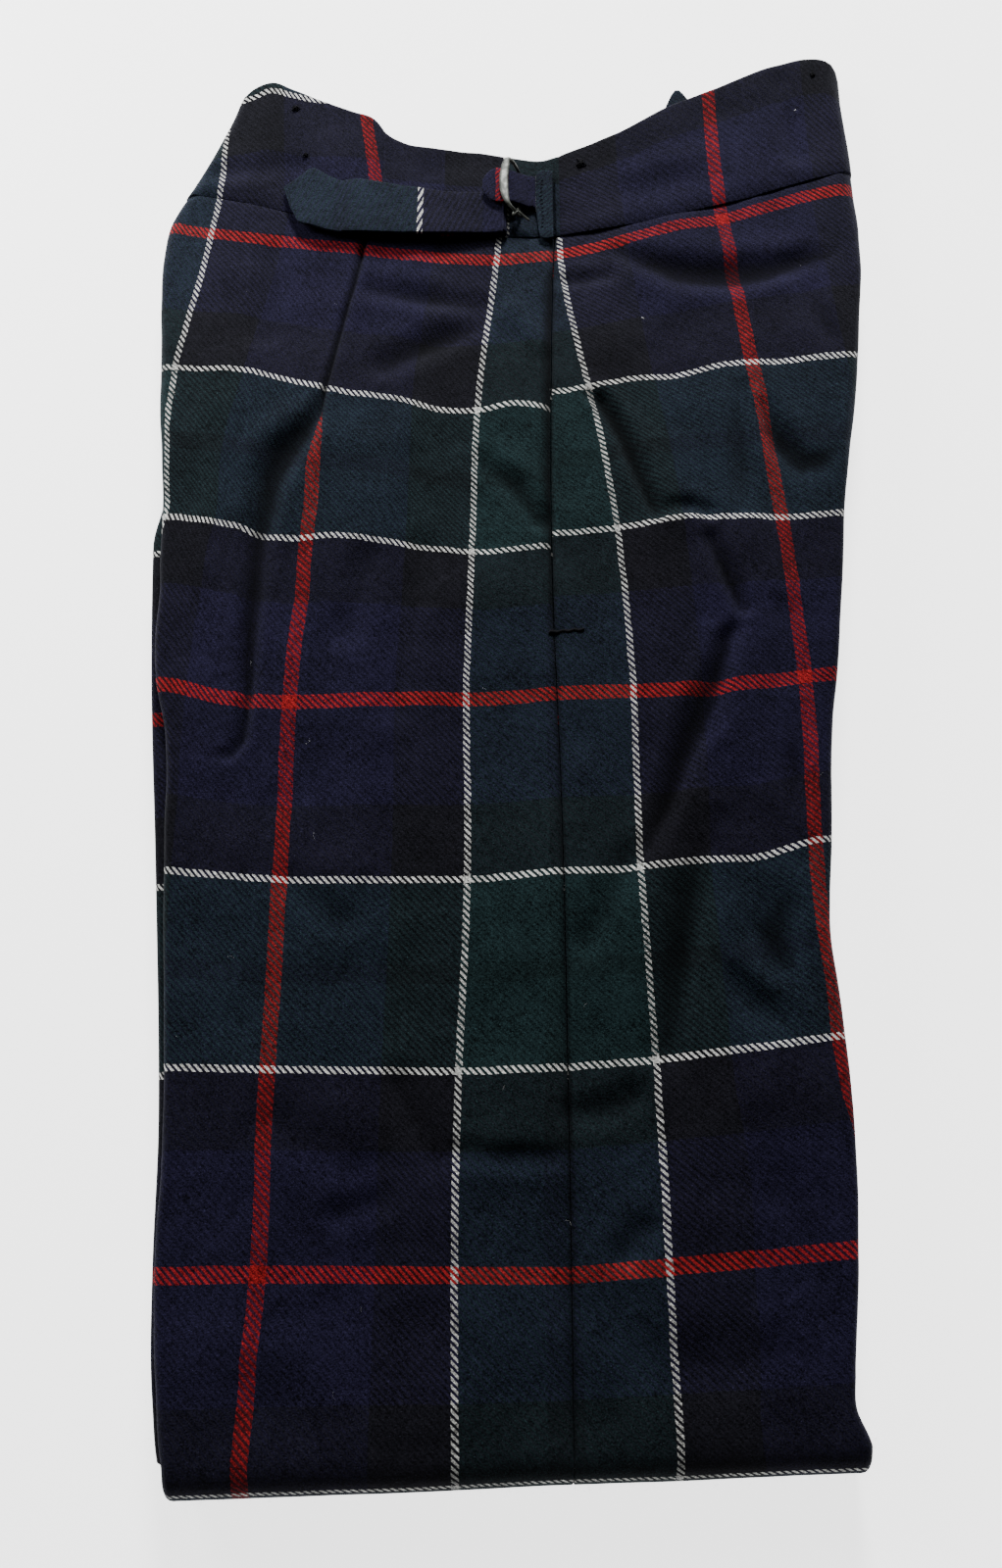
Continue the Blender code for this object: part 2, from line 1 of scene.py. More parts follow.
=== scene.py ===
"""Looks of the folded tartan trews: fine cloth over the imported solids, with the sett woven in the shader.

The garment lies side-on on one leg, folded up under itself at the knee. The waist is towards +Y, the
front crease towards +X and the surface at z = 0. Sizes are in millimetres until a mesh is made.
"""

import math
import random

import bmesh
import bpy
import numpy as np
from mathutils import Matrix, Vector, noise


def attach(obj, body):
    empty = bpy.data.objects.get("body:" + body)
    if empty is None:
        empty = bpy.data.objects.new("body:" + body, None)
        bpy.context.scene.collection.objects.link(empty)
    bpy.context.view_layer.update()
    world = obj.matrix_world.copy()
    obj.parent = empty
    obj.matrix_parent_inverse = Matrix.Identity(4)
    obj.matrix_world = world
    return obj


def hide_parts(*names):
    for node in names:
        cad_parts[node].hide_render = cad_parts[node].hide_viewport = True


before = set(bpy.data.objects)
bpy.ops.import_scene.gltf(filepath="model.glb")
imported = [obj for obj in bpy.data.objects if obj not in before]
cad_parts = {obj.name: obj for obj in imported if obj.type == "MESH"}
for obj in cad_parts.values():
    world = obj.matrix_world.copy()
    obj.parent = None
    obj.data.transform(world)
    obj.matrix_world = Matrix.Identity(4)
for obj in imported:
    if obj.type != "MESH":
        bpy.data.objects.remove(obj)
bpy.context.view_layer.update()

MM = 0.001

# Cloth and layers, as in the solids
CLOTH = 1.5
BAND_CLOTH = 2.3
BAND_PROUD = 0.8
STRAP_CLOTH = 1.4
TAB_CLOTH = 1.7
SEAM_GAP = 0.3
LAYER_GAP = 0.5
LEG = 7.0
STACK = 4 * LEG
FOLD_RADIUS = STACK / 2
FOLD_GAP = 0.8
TUCK = 20.0
SIDE_WAIST = 270.0
BAND_SEAM = 226.0
HIDDEN_END = 257.0
SEAT_START, SEAT_END = 85.0, 110.0
FAR_LEG_TOP = 84.0
FAR_INSET = 1.5
NEAR_HEM, FAR_HEM, HEM_INSET = 154.0, 170.0, 1.5
REST_START, REST_END = 178.0, 222.0
REST_BLOCK = (176.0, 219.0)
WAIST_TOP = 14.5
LIFT_START = 130.0
FOLD_MIDDLE, FOLD_SLOPE = -327.8, 0.0365
BAND_JOIN = -65.5
# Near waistband pieces reach this far past their upright seams
LAP = 0.15
FAR_BAND_PAST, FAR_FOLD_PAST, FAR_FOLD_AT = 3.0, 17.0, 86.0
FAR_RED_AT = 112

# The sett, in millimetres from the middle of a red line. It is the same across and along the cloth.
SETT = 229.0
WHITE_AT = SETT / 3
THREAD = 0.70
STRIPES = (
    (0.0, "red"),
    (3.35, "navy"),
    (45.0, "black"),
    (75.1, "white"),
    (77.5, "green"),
    (110.3, "deep green"),
    (118.7, "green"),
    (151.5, "white"),
    (153.9, "black"),
    (184.0, "navy"),
    (225.65, "red"),
)
YARN = {
    "red": (0.20, 0.0080, 0.0095),
    "navy": (0.0078, 0.0068, 0.0190),
    "black": (0.0054, 0.0053, 0.0078),
    "white": (0.42, 0.42, 0.40),
    "green": (0.0068, 0.0158, 0.0170),
    "deep green": (0.0052, 0.0116, 0.0120),
}


def table(names, *rows):
    return np.array(list(rows), dtype=[(name, float) for name in names.split()])


# The outline from above: both edges of the near leg, and the far leg's left edge, which shows past it
OUTLINE = table(
    "along near_left far_left near_right",
    (-320, -131.0, -133.0, 131.0),
    (-310, -133.0, -135.5, 131.0),
    (-297, -134.8, -137.5, 126.0),
    (-286, -136.0, -139.0, 126.6),
    (-252, -138.8, -141.3, 130.2),
    (-200, -139.0, -143.0, 132.8),
    (-160, -141.8, -146.0, 131.6),
    (-120, -145.0, -149.7, 129.2),
    (-78, -147.7, -153.7, 132.8),
    (-36, -150.5, -158.0, 135.8),
    (-12, -156.5, -160.2, 139.8),
    (34, -158.0, -163.4, 145.5),
    (82, -160.5, -165.8, 151.0),
    (118, -165.0, -167.0, 158.0),
    (160, -168.0, -168.0, 164.0),
    (214, -172.0, -172.0, 170.5),
    (230, -170.5, -170.5, 171.5),
    (250, -162.5, -162.5, 171.5),
    (272, -154.0, -154.0, 171.5),
    (305, -142.0, -142.0, 169.5),
)
WAIST_EDGE = table(
    "across along",
    (-142, 303.0), (-134, 314.0), (-125, 319.0), (-113, 314.0), (-100, 308.0), (-82, 300.5),
    (-70, 295.0), (-64, 286.5), (-56, 281.5), (-40, 277.5), (-20, 275.0), (0, 271.5), (15, 270.0),
    (28, 275.0), (58, 289.5), (79, 303.5), (100, 313.0), (120, 323.0), (138, 330.0), (152, 333.3),
    (161, 332.0), (167, 327.0), (171, 318.0),
)
BAND_LINE = table(
    "across along",
    (-172, 250.0), (-145, 245.0), (-115, 238.0), (-90, 231.0), (-60, 226.0), (-20, 223.0),
    (20, 223.5), (50, 228.5), (78, 235.0), (102, 241.5), (135, 252.0), (171, 263.5),
)
SIDE_SEAM = table(
    "along across",
    (-320, 20.6), (-180, 20.3), (-60, 19.0), (30, 16.5), (132, 17.0), (211, 19.5), (272, 23.0),
)
LOWER_LEG = table(
    "from_fold near_left far_left near_right",
    (0, -131.0, -133.0, 131.0),
    (471, -118.0, -121.0, 116.0),
)

# Where the sett's lines run. The upright ones are read along the leg. split is the dart and, below its
# end, a line beside the red one; u_left and u_right are the places in the sett on its two sides.
BACK_UPRIGHTS = table(
    "along white_1 split u_left u_right white_3",
    (-320, -178.8, -99.2, 3.3, 3.3, -23.0),
    (-286, -177.1, -97.5, 3.3, 3.3, -23.5),
    (-252, -175.3, -95.7, 3.3, 3.3, -24.0),
    (-200, -175.3, -95.7, 3.3, 3.3, -23.6),
    (-160, -175.0, -95.4, 3.3, 3.3, -22.4),
    (-120, -174.5, -94.9, 3.3, 3.3, -20.6),
    (-78, -174.0, -94.4, 3.3, 3.3, -20.2),
    (-36, -173.9, -94.3, 3.3, 3.3, -21.0),
    (-12, -173.0, -94.1, 3.3, 3.3, -21.2),
    (28, -168.5, -91.3, 3.3, 3.3, -19.8),
    (50, -163.5, -90.4, 3.3, 3.3, -19.2),
    (60, -160.0, -89.8, 3.3, 3.3, -18.9),
    (67, -157.8, -89.4, 3.3, 3.3, -18.7),
    (78, -158.4, -89.0, 3.3, 3.3, -18.5),
    (90, -159.2, -88.7, 3.3, 3.3, -18.4),
    (98, -159.8, -88.6, 2.3, 3.3, -18.2),
    (108, -160.6, -88.4, 0.4, 3.3, -17.8),
    (114, -160.6, -88.6, -1.1, 3.5, -17.5),
    (121, -160.5, -88.8, -3.4, 4.2, -17.0),
    (128, -160.0, -88.1, -4.0, 5.0, -16.6),
    (146, -159.4, -85.2, -4.2, 6.5, -15.0),
    (168, -156.0, -81.4, -4.2, 8.0, -12.6),
    (195, -152.5, -76.8, -4.2, 10.0, -9.6),
    (223, -149.0, -72.0, -4.2, 12.0, -7.2),
    (253, -146.5, -69.0, -4.2, 12.0, -5.0),
)
FRONT_UPRIGHTS = table(
    "along white_4 red_5",
    (-320, 59.0, 137.0),
    (-312, 58.9, 134.5),
    (-300, 58.6, 133.5),
    (-286, 58.0, 137.0),
    (-252, 57.0, 138.0),
    (-207, 56.0, 137.2),
    (-190, 55.4, 131.8),
    (-175, 55.0, 129.2),
    (-141, 53.2, 127.2),
    (-101, 51.0, 124.4),
    (-60, 50.5, 124.6),
    (-12, 50.0, 125.0),
    (28, 47.8, 122.2),
    (67, 44.4, 119.2),
    (90, 41.3, 116.5),
    (113, 37.5, 114.9),
    (128, 34.5, 113.2),
    (146, 31.0, 111.0),
    (168, 27.0, 109.0),
    (195, 23.4, 106.8),
    (211, 22.0, 105.3),
    (223, 21.8, 104.0),
    (253, 22.0, 101.2),
    (313, 22.0, 99.6),
)
# The level ones are read across the leg, from the red line under the waistband down to the fold.
LEVEL_NAMES = ("red_1", "white_2", "white_3", "red_4", "white_5", "white_6", "red_7", "white_8")
BACK_LEVELS = table(
    "across " + " ".join(LEVEL_NAMES),
    (-172, 229.0, 144.0, 66.0, -16.0, -95.0, -175.0, -253.0, -332.3),
    (-150, 223.4, 142.0, 65.0, -15.0, -96.3, -175.2, -253.0, -331.5),
    (-130, 221.0, 141.5, 62.5, -20.0, -98.0, -175.5, -252.6, -330.7),
    (-105, 218.2, 135.3, 55.0, -23.0, -100.3, -176.0, -252.2, -329.8),
    (-80, 215.0, 129.3, 56.0, -22.3, -100.9, -176.3, -252.3, -328.9),
    (-55, 211.8, 125.8, 52.7, -21.2, -100.9, -176.6, -252.4, -328.0),
    (-35, 209.8, 119.8, 50.0, -21.2, -100.8, -176.8, -252.5, -327.3),
    (-15, 208.6, 119.3, 48.0, -21.2, -100.3, -176.7, -252.6, -326.5),
    (0, 209.0, 122.5, 49.0, -20.3, -99.0, -176.0, -252.7, -326.0),
    (17, 211.2, 120.3, 51.3, -18.8, -97.2, -175.3, -252.8, -325.4),
)
FRONT_LEVELS = table(
    "across " + " ".join(LEVEL_NAMES),
    (19, 211.6, 128.3, 56.3, -19.0, -97.2, -175.3, -252.8, -325.3),
    (35, 215.3, 131.8, 58.5, -18.5, -96.8, -174.0, -251.5, -324.7),
    (55, 220.7, 136.8, 61.5, -17.8, -95.0, -172.4, -249.8, -324.0),
    (75, 226.6, 138.6, 64.5, -16.7, -92.0, -170.0, -248.0, -323.3),
    (100, 232.5, 145.2, 65.0, -14.8, -91.0, -167.0, -246.0, -322.4),
    (125, 241.0, 145.8, 65.0, -11.4, -83.8, -163.5, -243.7, -321.4),
    (150, 248.0, 149.3, 68.0, -8.5, -83.0, -161.0, -242.0, -320.5),
    (172, 252.6, 152.0, 71.0, -7.0, -83.0, -160.0, -241.0, -319.7),
)
FAR_LEVELS = table(
    "along place",
    (-900, 1104.3), (-330, 534.3), (-254, 458.0), (-178.5, 381.7), (-102.5, 305.3), (-28.5, 229.0),
    (50.5, 152.7), (130, 76.3), (206, 0.0), (280, -60.0),
)
# On the back waistband: the white line near its top edge, and the red line that runs up it
TOP_WHITE = table(
    "across along",
    (-172, 296.6), (-150, 303.6), (-134, 308.8), (-125, 314.0), (-113, 310.6), (-104, 308.2),
    (-96, 307.6), (-86, 309.0), (-60, 309.0),
)
BAND_RED = table("along across", (230, -67.0), (259, -69.7), (284, -73.5), (296, -75.3), (320, -78.0))

# Creases of the upper leg and of the near waistband. Each is a run of places, as across, along, width and
# height, and bends from one to the next. A height below zero is a trough.
CREASES = (
    ((-89, 127, 3, -1.0), (-92, 116, 4, -2.8), (-98, 107, 6, -4.4), (-106, 97, 7, -5.0),
     (-111, 84, 6.2, -4.6), (-113, 68, 5.6, -4.0), (-115.5, 50, 5.2, -3.6), (-116, 34, 4.4, -4.0),
     (-116.5, 12, 4, -4.2), (-116, -8, 3.2, -3.8), (-115.5, -22, 2.8, -3.4), (-117, -40, 2.6, -3.2),
     (-121, -46.5, 2.4, -2.8), (-130, -47.5, 2.4, -1.4)),
    ((52, 213, 4, -1.4), (65, 206, 6, -3.4), (79, 200.5, 8, -4.8), (93, 199, 8, -5.0),
     (106, 199, 8, -5.0), (122, 201, 7, -4.6), (134, 204.5, 6, -4.0), (147, 208.5, 5, -3.4),
     (157, 211.5, 4, -2.0)),
    ((35, 128, 3.0, -2.2), (40, 124.5, 3.8, -4.0), (45, 117, 3.8, -4.9), (51, 104, 3.6, -5.0),
     (56.5, 88, 3.6, -5.0), (62, 72, 3.2, -4.4), (64.6, 66, 2.8, -2.8)),
    ((115, 121, 4, -1.8), (120, 108, 5, -3.6), (124.5, 100, 6, -4.6), (131, 92.5, 6.5, -4.8),
     (139, 93.5, 6, -4.2), (146, 99, 5, -1.8)),
    ((88, 54, 3.2, -2.0), (91.5, 45, 3.6, -3.6), (96, 32, 3.6, -4.2), (100, 20, 3.2, -3.0)),
    ((97, 12, 3.4, -1.6), (92, 5, 4, -3.4), (88, -8, 4.4, -4.0), (82, -23.5, 6, -4.6),
     (75, -37, 6, -4.2), (69, -51, 5, -3.8), (63, -69, 4.4, -3.4), (55, -86, 4, -2.0)),
    ((76, -88, 7, -1.8), (70, -108, 8, -3.4), (65, -136, 8, -3.6), (59, -166, 8, -2.2)),
    ((-18, 167, 6, -2.0), (-38, 158, 7, -3.8), (-61, 146, 6.4, -2.4)),
    ((-22, -208, 4, -1.2), (-4, -210, 4.4, -2.2), (14, -210, 4, -1.6)),
    ((107, 132, 4, -1.0), (104, 113, 4, -2.0), (104, 92, 4, -2.4), (103, 70, 4, -1.6)),
    ((120, -30, 6, -1.4), (117, -47, 6.5, -2.6), (118, -65, 6, -1.6)),
    ((132, -46, 3.4, -2.4), (132, -78, 3.4, -2.4)),
    ((84, -135, 5, -1.0), (90, -144, 6, -1.7), (97, -152, 6.4, -1.9), (109, -160, 6, -1.2)),
    ((46, -93, 6, -1.6), (29, -126, 6, -1.6)),
    ((-46, -182, 6, -2.0), (-31, -209, 6, -2.0)),
    ((-68, -231, 5, -1.8), (-53, -226, 5, -1.8)),
    ((22, -193, 5, -1.6), (35, -192, 5, -2.2), (46, -187, 5, -1.8)),
    ((40, -245, 5, -1.6), (49, -236, 5, -1.6)),
    ((-66, 44, 6, -1.2), (-75, 9, 6, -1.2)),
    ((-92, -101, 6, -1.6), (-72, -118, 6, -1.6)),
    ((-118, 162, 6, -1.4), (-117, 214, 6, -1.4)),
    ((-42, 49, 6, -1.2), (-53, -25, 7, -1.2)),
    ((-14, 92, 5, -2.0), (1, 80, 5.4, -3.2), (11, 63, 5, -2.6)),
    ((-70, 190, 5.4, -1.8), (-42, 184, 5.6, -2.8), (-12, 178, 5.6, -1.6)),
    ((24, 194.5, 4, -1.6), (36, 196, 4, -2.2), (46, 197.5, 4, -1.2)),
    ((141, 192, 6, -1.4), (146, 176, 6, -2.2), (152, 163, 6, -2.2), (155, 158, 5, -1.2)),
    ((-2, 175, 7, 2.0), (12, 156, 6, 1.6)),
    ((108, 12, 9, 1.8), (96, -30, 9, 2.2), (84, -66, 8, 1.6)),
    ((88, -133, 5, 1.8), (104, -144, 6, 2.2), (121, -154, 5, 1.4)),
    ((-50, 116, 7, 1.2), (-56, 66, 7, 1.0)),
    ((-140, 20, 9, 1.6), (-134, -30, 8, 1.4)),
    ((66, 100, 9, 1.6), (78, 62, 9, 1.4)),
    ((100, 70, 8, 1.2), (116, 30, 8, 1.4)),
    ((-60, -40, 9, 1.0), (-66, -92, 9, 1.0)),
    ((-96, -196, 9, -1.2), (-62, -214, 9, -1.4)),
    ((96, -198, 8, -1.2), (118, -250, 8, -1.4)),
    ((-108, -282, 10, 1.2), (-58, -276, 10, 1.0)),
    ((56, -284, 9, -1.4), (112, -278, 9, -1.2)),
    ((0, -262, 10, 1.2), (30, -286, 10, 1.0)),
    ((71, 69, 3.4, -1.8), (79, 70, 3.4, -2.6), (87, 67.5, 3.4, -1.6)),
    ((87, -46, 3.0, -0.9), (87.5, -62, 3.0, -0.9)),
    ((110, -111, 7, -2.8), (105, -122, 8, -3.9), (108, -134, 7, -3.0)),
)
BAND_CREASES = (
    ((137, 318, 5, -1.2), (142, 272, 5, -1.4)),
    ((-148, 262, 5, -1.4), (-128, 263, 6, -1.8), (-108, 266, 5, -1.0)),
    ((56, 248, 6, -0.5), (84, 256, 6, -0.7)),
    ((62, 264, 8, 1.2), (96, 273, 8, 0.9)),
    ((-40, 262, 7, -0.6), (-24, 270, 7, -0.6)),
    ((108, 299, 7, -0.9), (128, 306, 7, -0.7)),
    ((-104, 290, 7, 0.9), (-92, 262, 7, 0.7)),
)
# A trough's raised sides: their height as a share of its depth, and their place and width in its widths
SIDE_SHARE, SIDE_PLACE, SIDE_WIDTH = 0.20, 1.9, 0.85
# A crease further off than this is passed over
CREASE_REACH = 40

# The deepest that a crease's floor lies under the plain form, and the room kept for it
DEEPEST, CREASE_ROOM = 4.9, 5.4

# Driving counts
ROW_STEP, COLUMN_STEP = 2.0, 2.4
TURN_STEPS, FOLD_STEPS, UNDER_ROWS = 8, 16, 96
TUCK_STEPS = 5
HIDDEN_COLUMNS = 14


def smooth(t):
    t = np.clip(t, 0.0, 1.0)
    return t * t * (3 - 2 * t)


def read(rows, column, at, key="along"):
    """A smooth curve through one column of a table, read at any place."""
    x, y = rows[key], rows[column]
    at = np.clip(at, x[0], x[-1])
    slopes = np.gradient(y, x)
    i = np.clip(np.searchsorted(x, at) - 1, 0, len(x) - 2)
    step = x[i + 1] - x[i]
    t = (at - x[i]) / step
    return (
        y[i] * (1 + 2 * t) * (1 - t) ** 2
        + y[i + 1] * t * t * (3 - 2 * t)
        + step * (slopes[i] * t * (1 - t) ** 2 - slopes[i + 1] * t * t * (1 - t))
    )


def hump(away, width):
    """1 where away is zero, and next to nothing two widths off."""
    return np.exp(-((away / width) ** 2))


def humps(away, rows):
    """The sum of several humps, each as its place, its height and its width."""
    return sum(height * hump(away - place, width) for place, height, width in rows)


def fold_edge(x):
    return FOLD_MIDDLE + FOLD_SLOPE * x


def waist_edge(x):
    return read(WAIST_EDGE, "along", x, key="across")


def band_line(x):
    return read(BAND_LINE, "along", x, key="across")


def place_along(v, x):
    """Where row v of the upper leg lies at x: rows follow the waistband above, and the fold below."""
    seam = band_line(x)
    lift = np.clip((v - LIFT_START) / (BAND_SEAM - LIFT_START), 0, 1) ** 2 * (seam - BAND_SEAM)
    climb = (waist_edge(x) - seam) / (SIDE_WAIST - BAND_SEAM)
    sink = np.clip((-200 - v) / (-200 - (FOLD_MIDDLE + FOLD_RADIUS)), 0, 1)
    return np.minimum(v, BAND_SEAM) + lift + np.maximum(v - BAND_SEAM, 0) * climb + sink * FOLD_SLOPE * x


def top_level(v):
    return STACK - (STACK - WAIST_TOP) * smooth((v - 100) / 170)


def under_level(v):
    upper_leg = STACK - LEG
    beside_far_leg = STACK / 2 + SEAM_GAP
    level = upper_leg - (upper_leg - beside_far_leg) * smooth((v - SEAT_START) / (SEAT_END - SEAT_START))
    return level - beside_far_leg * smooth((v - REST_START) / (REST_END - REST_START))


def crease_paths(creases):
    """The runs of each crease, between one of its places and the next."""
    paths = [table("across along width height", *places) for places in creases]
    return [list(zip(path, path[1:])) for path in paths]


def crease_height(paths, x, y):
    """How far creases lift or sink the cloth: each by its nearest run, a trough with raised sides."""
    height = np.zeros_like(x)
    low, high = y.min() - CREASE_REACH, y.max() + CREASE_REACH
    for path in paths:
        runs = [sorted((a["along"], b["along"])) for a, b in path]
        if all(end < low or start > high for start, end in runs):
            continue
        nearest = np.full(x.shape, np.inf)
        effect = np.zeros_like(x)
        for a, b in path:
            across, along = b["across"] - a["across"], b["along"] - a["along"]
            dx, dy = x - a["across"], y - a["along"]
            share = (dx * across + dy * along) / (across**2 + along**2)
            t = np.clip(share, 0, 1)
            away = np.hypot(dx - t * across, dy - t * along)
            width = a["width"] + t * (b["width"] - a["width"])
            away = away / width
            tall = a["height"] + t * (b["height"] - a["height"])
            form = hump(away, 1)
            if a["height"] < 0:
                form = form - SIDE_SHARE * hump(away - SIDE_PLACE, SIDE_WIDTH)
            effect = np.where(away < nearest, tall * form, effect)
            nearest = np.minimum(away, nearest)
        height += effect
    return height


def rolling(x, y, scale, seed):
    """Smooth noise, about -0.5 to 0.5, over arrays of places."""
    flat = [noise.noise((a / scale, b / scale, seed)) for a, b in zip(np.ravel(x), np.ravel(y))]
    return np.array(flat).reshape(np.shape(x))


class Row:
    """One row across a leg: its creases, its seam and how points (x, depth) are placed."""

    def __init__(self, kind, at):
        self.kind, self.at = kind, at
        if kind == "top":
            left_y, right_y = (place_along(at, WAIST_EDGE["across"][i]) for i in (0, -1))
            self.left = float(read(OUTLINE, "near_left", left_y))
            self.right = float(read(OUTLINE, "near_right", right_y))
            self.far_left = float(read(OUTLINE, "far_left", at))
            self.seam = float(read(SIDE_SEAM, "across", at))
            self.radius = float(top_level(at) - under_level(at)) / 2
        else:
            from_fold = at if kind == "under" else 0.0
            names = ("near_left", "near_right", "far_left")
            values = [float(read(LOWER_LEG, name, from_fold, key="from_fold")) for name in names]
            self.left, self.right, self.far_left = values
            self.seam = float(SIDE_SEAM["across"][0])
            self.radius = LEG / 2
        self.outer_radius = self.radius

    def place(self, x, depth):
        """(x, y, z) of points at depth 0 on the near leg's outer face and negative inside."""
        x, depth = np.broadcast_arrays(np.asarray(x, float), np.asarray(depth, float))
        axis = fold_edge(x) + FOLD_RADIUS
        if self.kind == "top":
            y, z = place_along(self.at, x), float(top_level(self.at)) + depth
        elif self.kind == "fold":
            reach = FOLD_RADIUS + depth
            y, z = axis - reach * math.sin(self.at), FOLD_RADIUS + reach * math.cos(self.at)
        else:
            y, z = axis + self.at, -depth
        return np.stack([x, y + 0 * x, z + 0 * x], axis=-1)

    def unrolled(self, x):
        """The place along the leg as if the fold were laid out straight."""
        axis = fold_edge(x) + FOLD_RADIUS
        if self.kind == "top":
            return place_along(self.at, x) + 0 * x
        turned = self.at if self.kind == "fold" else math.pi
        return axis - FOLD_RADIUS * turned - (self.at if self.kind == "under" else 0.0)


def leg_rows(start, step=ROW_STEP, under=UNDER_ROWS):
    axis = FOLD_MIDDLE + FOLD_RADIUS
    rows = [Row("top", float(v)) for v in np.linspace(start, axis, round((start - axis) / step) + 1)]
    rows += [Row("fold", math.pi * i / FOLD_STEPS) for i in range(1, FOLD_STEPS + 1)]
    hem = NEAR_HEM - axis
    return rows + [Row("under", hem * i / under) for i in range(1, under + 1)]


def gathered(start, end, step, at_start=0.0, at_end=0.0):
    """Places from start to end, closer together at either end by up to that share."""
    count = max(2, round(abs(end - start) / step))
    t = np.linspace(0, 1, count + 1)
    t = t - at_start * (1 - t) ** 2 * t - at_end * (t**2 * (t - 1))
    return start + t * (end - start)


def crease_profile(row, side, inner, outer=0.0):
    """x, depth and unrolled x, from the last flat column, round the crease and in under it."""
    edge = row.left if side < 0 else row.right
    bottom = -2 * row.radius
    radius = (outer - bottom) / 2
    centre = edge - side * radius
    angle = np.linspace(0, math.pi, TURN_STEPS + 1)
    tuck = np.linspace(0, inner, TUCK_STEPS + 1)[1:]
    x = np.concatenate([centre + side * radius * np.sin(angle), centre - side * tuck])
    depth = np.concatenate([outer - radius + radius * np.cos(angle), bottom + 0 * tuck])
    rolled = np.concatenate([centre + side * radius * angle, centre + side * (radius * math.pi + tuck)])
    return x, depth, rolled


def along_lines(place, lines, values, sign):
    """The place in the sett at each point, between lines that lie at the given places, all as arrays."""
    found = np.full(np.shape(place), float(values[0]))
    for near, far, low, high in zip(lines, lines[1:], values, values[1:]):
        found += np.clip((place - near) / (far - near), 0, 1) * (high - low)
    before = np.minimum((place - lines[0]) * sign, 0)
    after = np.maximum((place - lines[-1]) * sign, 0)
    return found + before + after


def levels_at(rows, x, y):
    """The place in the sett along the leg."""
    lines = [read(rows, name, x, key="across") for name in LEVEL_NAMES]
    values = [WHITE_AT * i for i in range(len(LEVEL_NAMES))]
    return along_lines(y, lines, values, -1)


def back_uprights(x, y, right_of_split):
    names = ("split", "white_3") if right_of_split else ("white_1", "split")
    lines = [read(BACK_UPRIGHTS, name, y) for name in names]
    at_split = read(BACK_UPRIGHTS, "u_right" if right_of_split else "u_left", y)
    if right_of_split:
        share = (x - lines[0]) / (lines[1] - lines[0])
        return np.where(x > lines[1], WHITE_AT + x - lines[1], at_split + share * (WHITE_AT - at_split))
    # Cloth beside the split keeps its size, and what is short is drawn from the outer half
    reach, width = lines[1] - x, lines[1] - lines[0]
    drawn = (WHITE_AT + at_split - width) * smooth((reach - 0.5 * width) / (0.5 * width))
    return at_split - reach - drawn


def front_uprights(x, y):
    lines = [read(FRONT_UPRIGHTS, name, y) for name in ("white_4", "red_5")]
    return along_lines(x, lines, [2 * WHITE_AT, 3 * WHITE_AT], 1)


def shown(name, data):
    made = bpy.data.objects.new(name, data)
    bpy.context.scene.collection.objects.link(made)
    return made


def mesh_object(name, verts, faces, corners, material, painted_shade=None):
    """A mesh from points in millimetres, with the place in the sett at each face corner in a UV map.

    The last argument is the shade painted into the colour at each point, from 0 to 1.
    """
    data = bpy.data.meshes.new(name)
    data.from_pydata([tuple(v) for v in np.asarray(verts) * MM], [], [tuple(f) for f in faces])
    if corners is not None:
        layer = data.uv_layers.new(name="cloth")
        layer.data.foreach_set("uv", (np.asarray(corners, float) / SETT).ravel())
    if painted_shade is not None:
        data.attributes.new("painted_shade", "FLOAT", "POINT").data.foreach_set("value", np.ravel(painted_shade))
    data.polygons.foreach_set("use_smooth", [True] * len(data.polygons))
    data.materials.append(material)
    return shown(name, data)


def grid_object(name, points, cloth, material, split=None, cloth_after=None, painted_shade=None):
    """A sheet through a grid of points. From column split on, its corners read cloth_after."""
    rows, columns = points.shape[:2]
    index = np.arange(rows * columns).reshape(rows, columns)
    faces = np.stack([index[:-1, :-1], index[:-1, 1:], index[1:, 1:], index[1:, :-1]], axis=-1)
    maps = np.repeat(cloth.reshape(1, -1, 2), 2, axis=0)
    after = np.zeros(faces.shape[:2], int)
    if split is not None:
        maps[1] = cloth_after.reshape(-1, 2)
        after[:, split:] = 1
    faces, after = faces.reshape(-1, 4), after.reshape(-1)
    corners = maps[after[:, None], faces]
    return mesh_object(name, points.reshape(-1, 3), faces, corners.reshape(-1, 2), material, painted_shade)


def thicken(piece, thickness, edge):
    wall = piece.modifiers.new("wall", "SOLIDIFY")
    wall.thickness = thickness * MM
    wall.offset = -1.0
    wall.use_even_offset = True
    rim = piece.modifiers.new("rim", "BEVEL")
    rim.width = edge * MM
    rim.segments = 2
    rim.limit_method = "ANGLE"
    rim.angle_limit = math.radians(50)
    return piece


LEG_PATHS, BAND_PATHS = crease_paths(CREASES), crease_paths(BAND_CREASES)
# Waves in the face of the cloth, the longest first, as height, length and seed
LEG_WAVES = ((2.6, 52, 3.0), (0.8, 19, 8.0), (0.18, 6, 5.0))
BAND_WAVES = ((1.2, 34, 4.0), (0.4, 12, 6.0))
POCKET_FOOT, POCKET_HEAD = 6, 206
DART_END, DART_FADE = 112, 16
# Pressed lines and lips, as rows of place, height and width, measured from a seam or from the dart
SEAM_GROOVE = ((0, -0.55, 1.5),)
POCKET_BACK, BACK_OF_SEAM, POCKET_LIP = ((0, -1.5, 3.2),), ((5, 0.25, 3),), ((2.2, 0.9, 2.6),)
DART_FORM = ((-0.4, -1.7, 1.3), (4.5, 0.7, 3.5), (-4.5, 0.35, 4))
UNDER_BAND = ((0, -0.35, 2.2),)
BAND_ROLL, BAND_END = ((0, -0.75, 2.6), (4, 0.35, 3)), ((0, -0.5, 1.2),)
